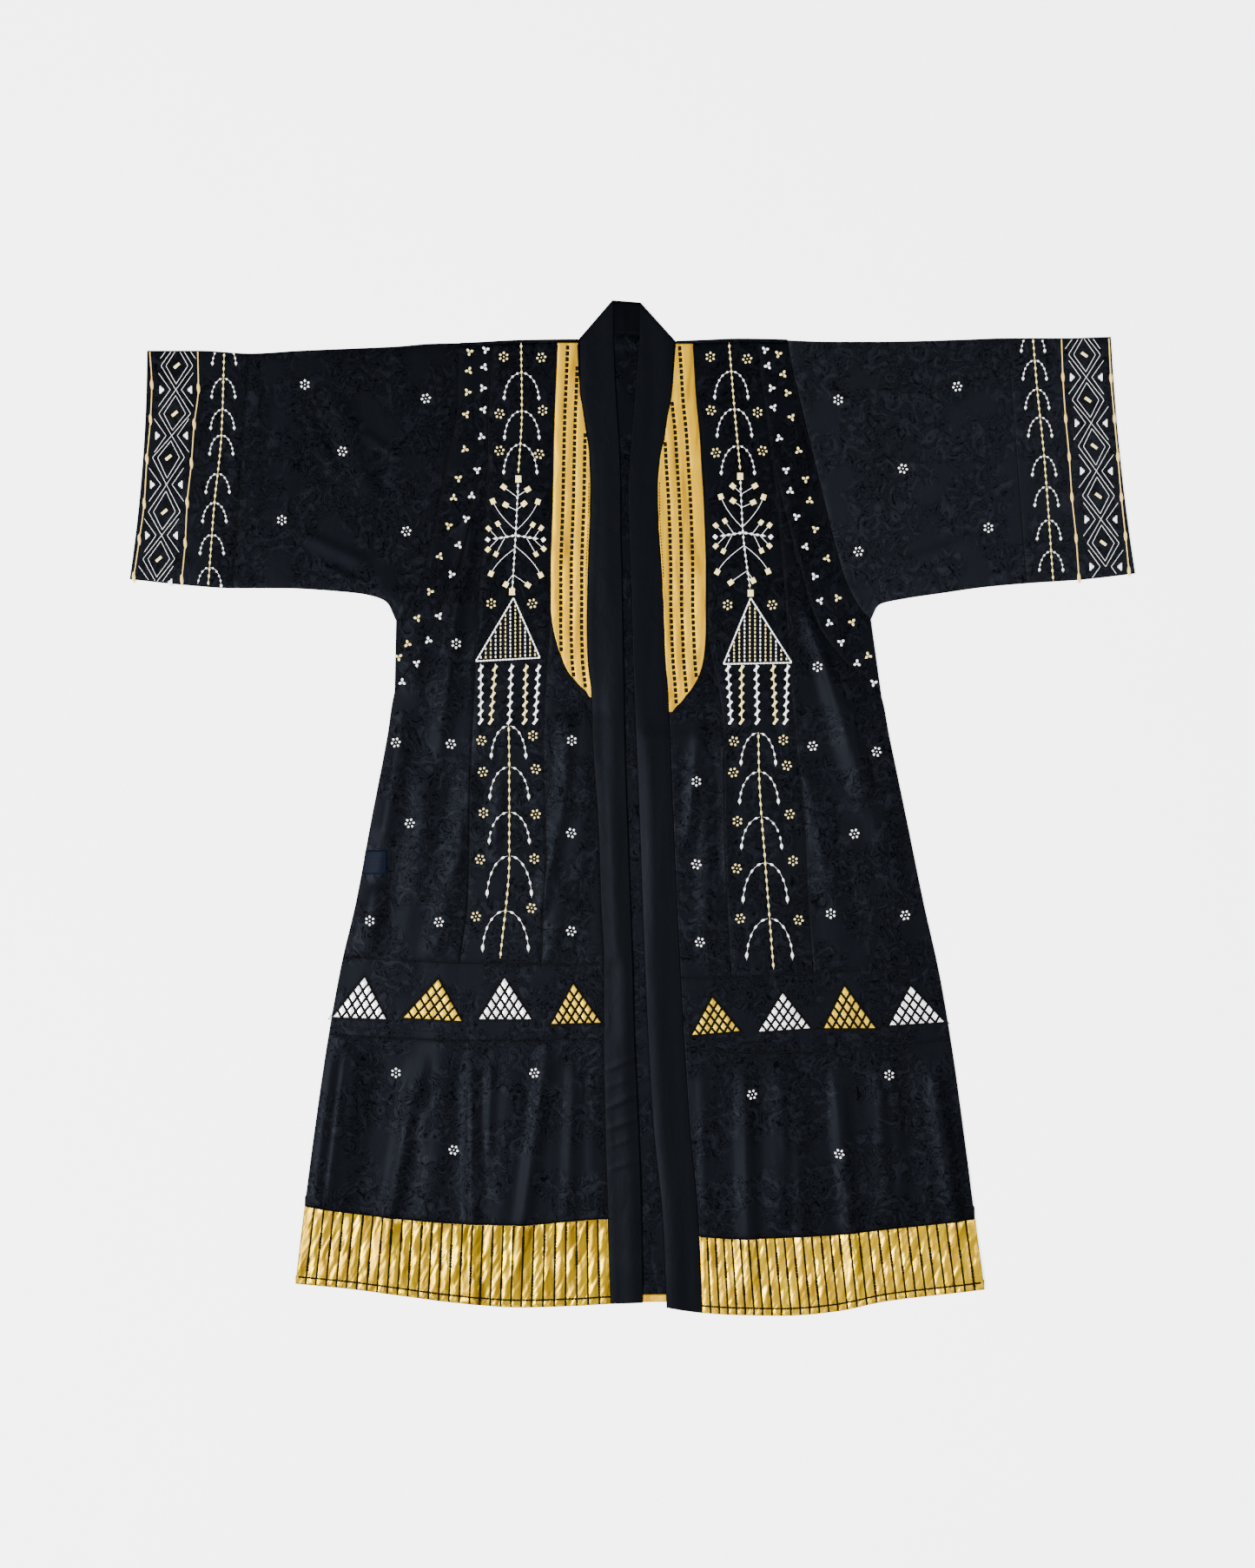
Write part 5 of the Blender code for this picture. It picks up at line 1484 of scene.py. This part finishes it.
def build_hem_stitches(side):
    """Black stitching of the gold hem, and a black line of painted shadow along its upper seam."""
    work = Threadwork("hem_stitches_" + side, "black")
    chosen = np.random.default_rng(HEM_SEEDS[side])
    v = np.linspace(*HEM_SPAN)
    for first, second in zip(GORES, GORES[1:]):
        count = HEM_CHANNELS[first]
        for n in range(1 if first == "side" else 0, count):
            path = plan(*meet(side, first, second, "hem_top", "hem_bottom", n / count, v))
            work.strand(path, "hem channel")
            begin = int(chosen.integers(*HEM_FIRST))
            work.dashes(path[begin:begin + int(chosen.integers(*HEM_COUNT))], "hem channel")
    levels = LEVEL_AT[side]
    ends = (LINE_AT[side][line](y) for line, y in zip(("side", "band_seam"), HEM_LINE_ENDS))
    x = np.linspace(*ends, 120)
    path = within(side, x, levels["hem_bottom"](x) + HEM_LINE, HEM_MARGIN)
    work.dashes(path, "hem line")
    work.strand(path, "hem line")
    work.strand(within(side, x, levels["hem_top"](x) + HEM_TOP_LINE, HEM_MARGIN), "hem top")
    work.build()


def build_lattices():
    """Black lattice and corded outline of the satin triangles, with a black ring of painted shadow round
    each.
    """
    lattice = Threadwork("triangle_lattice", "black", gold_top)
    outline = Threadwork("triangle_outlines", "black")
    for row in TRIANGLES:
        apex, start, end = corners(row)
        for n in range(1, TRIANGLE_CELLS):
            share = n / TRIANGLE_CELLS
            lattice.strand([lerp(apex, end, share), lerp(start, end, share)], "lattice")
            lattice.strand([lerp(apex, start, share), lerp(end, start, share)], "lattice")
        centre = (apex + start + end) / 3
        for a, b in ((apex, start), (start, end), (end, apex)):
            for kind, out in TRIANGLE_RINGS:
                outline.strand([lerp(centre, a, out), lerp(centre, b, out)], kind)
    lattice.build()
    outline.build()


def build_topstitching(side):
    """Fine dark stitching beside the seams."""
    work = Threadwork("topstitching_" + side, "navy")
    for row in TOPSTITCHED:
        work.dashes(along_seam(side, TOPSTITCH["step"], **row), "topstitching")
    for seam, offset in TOPSTITCHED_ACROSS:
        work.dashes(across_seam(side, seam, **TOPSTITCH, offset=offset), "topstitching")
    work.build()


def build_seam_shade_lines(side):
    """Black line of painted shade in each seam, where the cloth turns under."""
    work = Threadwork("seam_shade_lines_" + side, "black", seam_bottom)
    foot = ARMHOLES[side][-1]["y"] + ARMHOLE_SEAM["above"]
    for row in (*SEAMS, {"seam": "armhole", "low": foot, "high": ARMHOLE_SEAM["high"]}):
        work.strand(along_seam(side, SEAM_PATH["step"], **row), "seam")
    for seam in ("band_top", "band_bottom", "hem_top"):
        work.strand(across_seam(side, seam, **SEAM_PATH), "seam")
    cuff = SLEEVES[side][CUFF_SEAM]
    work.strand([(cuff["top_x"], cuff["top_y"] - CUFF_SEAM_INSET),
                 (cuff["bottom_x"], cuff["bottom_y"] + CUFF_SEAM_INSET)], "seam")
    work.build()


class Look:
    """Material in the making: its shader, and the relief and place that its textures start from."""

    def __init__(self, name, **constants):
        self.material = bpy.data.materials.new(name)
        self.material.use_nodes = True
        self.tree = self.material.node_tree
        self.shader = self.tree.nodes["Principled BSDF"]
        for key, value in constants.items():
            self.shader.inputs[key.replace("_", " ")].default_value = value
        self.place = self.tree.nodes.new("ShaderNodeTexCoord").outputs["Object"]
        self.normal = None

    def node(self, kind, output, inputs, **settings):
        """Output of a new shader node. An input may be another node's output."""
        made = self.tree.nodes.new("ShaderNode" + kind)
        for key, value in settings.items():
            setattr(made, key, value)
        for key, value in inputs.items():
            if isinstance(value, bpy.types.NodeSocket):
                self.tree.links.new(value, made.inputs[key])
            else:
                made.inputs[key].default_value = value
        return made.outputs[output]

    def drive(self, socket, value):
        """Let a texture set one of the shader's sockets."""
        self.tree.links.new(value, self.shader.inputs[socket])

    def times(self, a, b):
        return self.node("Math", 0, {0: a, 1: b}, operation="MULTIPLY")

    def span(self, value, low, high, to_low=0.0, to_high=1.0):
        """Value moved from one range to another, and kept inside it."""
        return self.node("MapRange", "Result", {
            "Value": value, "From Min": low, "From Max": high, "To Min": to_low, "To Max": to_high})

    def noise(self, scale, detail, distortion=0.0, stretch=(1.0, 1.0, 1.0), turn=0.0, mapping="POINT"):
        """Noise over the cloth, finer along an axis where the stretch is more."""
        place = self.node("Mapping", "Vector", {
            "Vector": self.place, "Rotation": (0.0, 0.0, turn), "Scale": stretch}, vector_type=mapping)
        return self.node("TexNoise", "Fac", {"Vector": place, "Scale": scale, "Detail": detail,
                                             "Distortion": distortion})

    def threads(self, direction, scale, distortion, detail=2.0):
        """Fine parallel ribs, as of a weave."""
        return self.node("TexWave", "Fac", {"Vector": self.place, "Scale": scale, "Detail": detail,
                                            "Distortion": distortion}, bands_direction=direction)

    def blend(self, share, a, b):
        """Mix of two colours, each a tone or another node's output."""
        a, b = (tone if isinstance(tone, bpy.types.NodeSocket) else (*tone, 1.0) for tone in (a, b))
        return self.node("Mix", 2, {0: share, 6: a, 7: b}, data_type="RGBA")

    def bump(self, height, strength, distance):
        """Relief, over what is there already."""
        inputs = {"Height": height, "Strength": strength, "Distance": distance}
        if self.normal is not None:
            inputs["Normal"] = self.normal
        self.normal = self.node("Bump", "Normal", inputs)
        self.drive("Normal", self.normal)


def jacquard_satin(name, gloss):
    """Near-black satin with tone-on-tone scrolls: thin dark outlines on a slightly lighter ground."""
    look = Look(name, Specular_Tint=JACQUARD_TINT)
    tones = JACQUARD_TONES
    scroll = look.noise(46.0, 1.5, 2.2, stretch=(1.0, 0.85, 1.0))
    contour = look.node("Math", 0, {0: look.times(scroll, 8.0), 1: 0.5}, operation="PINGPONG")
    figured = look.span(look.noise(15.0, 1.0), 0.36, 0.46)
    outline = look.times(look.span(contour, 0.07, 0.19, 1.0, 0.0), figured)
    petals = look.times(look.span(scroll, 0.55, 0.60), figured)
    # Lengthwise streaks of darker and lighter ground are painted sheen
    painted_light_streak = look.noise(2.2, 3.0, 0.6, stretch=(9.0, 1.3, 1.0))
    ground = look.blend(look.span(painted_light_streak, 0.35, 0.7), tones["dark"], tones["ground"])
    ground = look.blend(look.times(petals, 0.6), ground, tones["petal"])
    look.drive("Base Color", look.blend(look.times(outline, 0.8), ground, tones["outline"]))
    shine = look.node("Math", 0, {0: look.span(petals, 0.0, 1.0, gloss, gloss * 1.5),
                                  1: look.times(outline, -0.75 * gloss)}, operation="ADD")
    # Less shine above the waist: painted shade of the flat upper fronts
    upward = look.node("SeparateXYZ", "Y", {"Vector": look.place})
    look.drive("Specular IOR Level", look.times(shine, look.span(upward, 0.10, 0.32, 1.0, 0.6)))
    look.drive("Roughness", look.span(painted_light_streak, 0.3, 0.75, 0.52, 0.46))
    look.bump(look.threads("DIAGONAL", 420.0, 1.5, 1.0), 0.06, 0.0002)
    look.bump(look.noise(22.0, 3.0, 0.4, stretch=(1.8, 1.0, 1.0)), 0.36, 0.0012)
    look.bump(outline, -0.35, 0.0002)
    return look.material


def plain_satin(name, gloss):
    """Doubled black satin of the bands, plainer and with fine lengthwise streaks of painted sheen."""
    look = Look(name, Specular_IOR_Level=gloss, Specular_Tint=BAND_TINT)
    # Lengthwise streaks of two tones are painted sheen
    painted_light_streak = look.noise(3.0, 3.0, 0.4, stretch=(14.0, 1.5, 1.0))
    look.drive("Base Color", look.blend(look.span(painted_light_streak, 0.35, 0.7), *BAND_TONES))
    look.drive("Roughness", look.span(painted_light_streak, 0.3, 0.75, 0.48, 0.42))
    look.bump(look.threads("DIAGONAL", 420.0, 1.5, 1.0), 0.06, 0.0002)
    look.bump(look.noise(26.0, 3.0, 0.6, stretch=(1.8, 1.0, 1.0)), 0.42, 0.0012)
    return look.material


def bright_satin(name, tones, roughness, contrast, creasing, metallic, tint):
    """Shiny satin, gold or silver. Contrast sets its streaks of painted highlight and shade, creasing its
    wrinkles.
    """
    look = Look(name, Specular_IOR_Level=0.2, Metallic=metallic, Specular_Tint=(*tint, 1.0))
    dark, middle, light = tones
    painted_light_streak = look.noise(13.0, 2.0, 0.7, stretch=(6.0, 0.7, 1.0))
    # Dark, middle and light tones mixed in streaks: painted shade and painted highlight
    colour = look.blend(look.span(painted_light_streak, 0.5 - 0.2 / contrast, 0.5), dark, middle)
    colour = look.blend(look.span(painted_light_streak, 0.5, 0.5 + 0.22 / contrast), colour, light)
    look.drive("Base Color", colour)
    look.drive("Roughness", look.span(painted_light_streak, 0.3, 0.7, roughness + 0.06, roughness - 0.05))
    look.bump(look.threads("Y", 380.0, 1.2, 1.0), 0.05, 0.0002)
    for row in SLANTS:
        crease = look.noise(1.0, 0.5, 0.2, (row["width"], row["length"], 1.0),
                            math.radians(row["degrees"]), "TEXTURE")
        look.bump(crease, 0.8, creasing * row["depth"])
    return look.material


def thread(name, colour, roughness, sheen=0.0):
    """Stranded embroidery thread."""
    look = Look(name, Sheen_Weight=sheen, Sheen_Roughness=0.5, Specular_IOR_Level=0.05 + sheen)
    shade = look.noise(160.0, 2.0)
    darker = tuple(tone * 0.84 for tone in colour)
    look.drive("Base Color", look.blend(look.span(shade, 0.3, 0.65), darker, colour))
    look.drive("Roughness", look.span(shade, 0.3, 0.7, roughness + 0.08, roughness))
    look.bump(look.threads("DIAGONAL", 260.0, 2.0), 0.5, 0.0004)
    return look.material


def navy_tape():
    """Woven tape with ribs across it."""
    look = Look("navy tape", Specular_IOR_Level=0.02)
    ribs = look.threads("Y", 160.0, 0.6)
    look.drive("Base Color", look.blend(ribs, *TAPE_TONES))
    look.drive("Roughness", look.span(ribs, 0.0, 1.0, 0.5, 0.4))
    look.bump(ribs, 0.3, 0.0003)
    return look.material


def floor_paper():
    """Plain pale paper."""
    look = Look("pale paper", Roughness=0.9, Specular_IOR_Level=0.1,
                Emission_Color=(1.0, 1.0, 1.0, 1.0), Emission_Strength=2.3)
    look.drive("Base Color", look.blend(look.noise(9.0, 4.0), *PAPER_TONES))
    return look.material


def place_in_scene(name, data, location):
    """Object of the stage at a place in metres."""
    item = bpy.data.objects.new(name, data)
    item.location = location
    bpy.context.scene.collection.objects.link(item)
    return item


def build_stage():
    """Pale floor, camera straight above as in the photo, and soft studio light."""
    mesh = bpy.data.meshes.new("floor")
    half = FLOOR["half"]
    corner_places = ((-half, -half, 0), (half, -half, 0), (half, half, 0), (-half, half, 0))
    mesh.from_pydata(corner_places, [], [(0, 1, 2, 3)])
    mesh.materials.append(floor_paper())
    floor = place_in_scene("floor", mesh, (0.0, 0.0, -FLOOR["down"]))

    data = bpy.data.cameras.new("camera")
    for key, value in CAMERA.items():
        setattr(data, key, value)
    away = VIEW["height"] * data.lens / data.sensor_width
    bpy.context.scene.camera = place_in_scene("camera", data, (VIEW["x"], VIEW["y"], away))

    for row in LAMPS:
        light = bpy.data.lights.new(row["name"], "AREA")
        light.size = row["size"]
        light.energy = row["power"]
        x, y, z = row["place"]
        lamp = place_in_scene(row["name"], light, row["place"])
        lamp.rotation_euler = (math.acos(z / math.hypot(x, y, z)), 0.0, math.atan2(-y, -x) - math.pi / 2)

    world = bpy.data.worlds.new("studio")
    world.use_nodes = True
    background = world.node_tree.nodes["Background"]
    background.inputs["Color"].default_value = (1.0, 1.0, 1.0, 1.0)
    background.inputs["Strength"].default_value = WORLD_STRENGTH
    bpy.context.scene.world = world


FINISHES = {
    "satin_black": jacquard_satin("jacquard satin", 0.040),
    # The sleeves' satins differ only in shine: the right sleeve's greater shine is painted light
    "sleeve_left": jacquard_satin("jacquard satin, left sleeve", 0.045),
    "sleeve_right": jacquard_satin("jacquard satin, right sleeve, painted sheen", 0.12),
    "band_black": plain_satin("plain black satin", 0.032),
    # Duller copy of the band satin: painted shade inside the neck
    "collar": plain_satin("plain black satin, painted shade inside the neck", 0.012),
    "label_navy": navy_tape(),
}
FINISHES.update((name, bright_satin(**row)) for name, row in BRIGHT_SATINS.items())
THREADS = {
    "cream": thread("cream thread", (0.92, 0.76, 0.30), 0.45, sheen=0.1),
    "sand": thread("sand thread", (0.78, 0.54, 0.17), 0.45, sheen=0.05),
    "white": thread("white thread", (0.98, 0.98, 0.98), 0.45, sheen=0.3),
    "black": thread("black thread", (0.0015, 0.0015, 0.002), 0.6),
    "navy": thread("navy thread", (0.0015, 0.0018, 0.003), 0.6),
}
CRISP = (FINISHES["satin_gold"], FINISHES["hem_left"], FINISHES["hem_right"])

build_stage()
build_back()
build_back_hem()
build_collar_back()
for each_side in SIDES:
    build_front(each_side)
    build_strip(each_side)
    build_band(each_side)
    build_hem_band(each_side)
    build_neck_gold(each_side)
    tube("sleeve", each_side, CUFF_SEAM, ARMHOLE_STATION)
    tube("cuff", each_side, 0, CUFF_SEAM)
    build_embroidery(each_side)
    build_gold_stitches(each_side)
    build_hem_stitches(each_side)
    build_topstitching(each_side)
    build_seam_shade_lines(each_side)
for triangle_row in TRIANGLES:
    build_triangle(triangle_row)
build_lattices()
build_label()
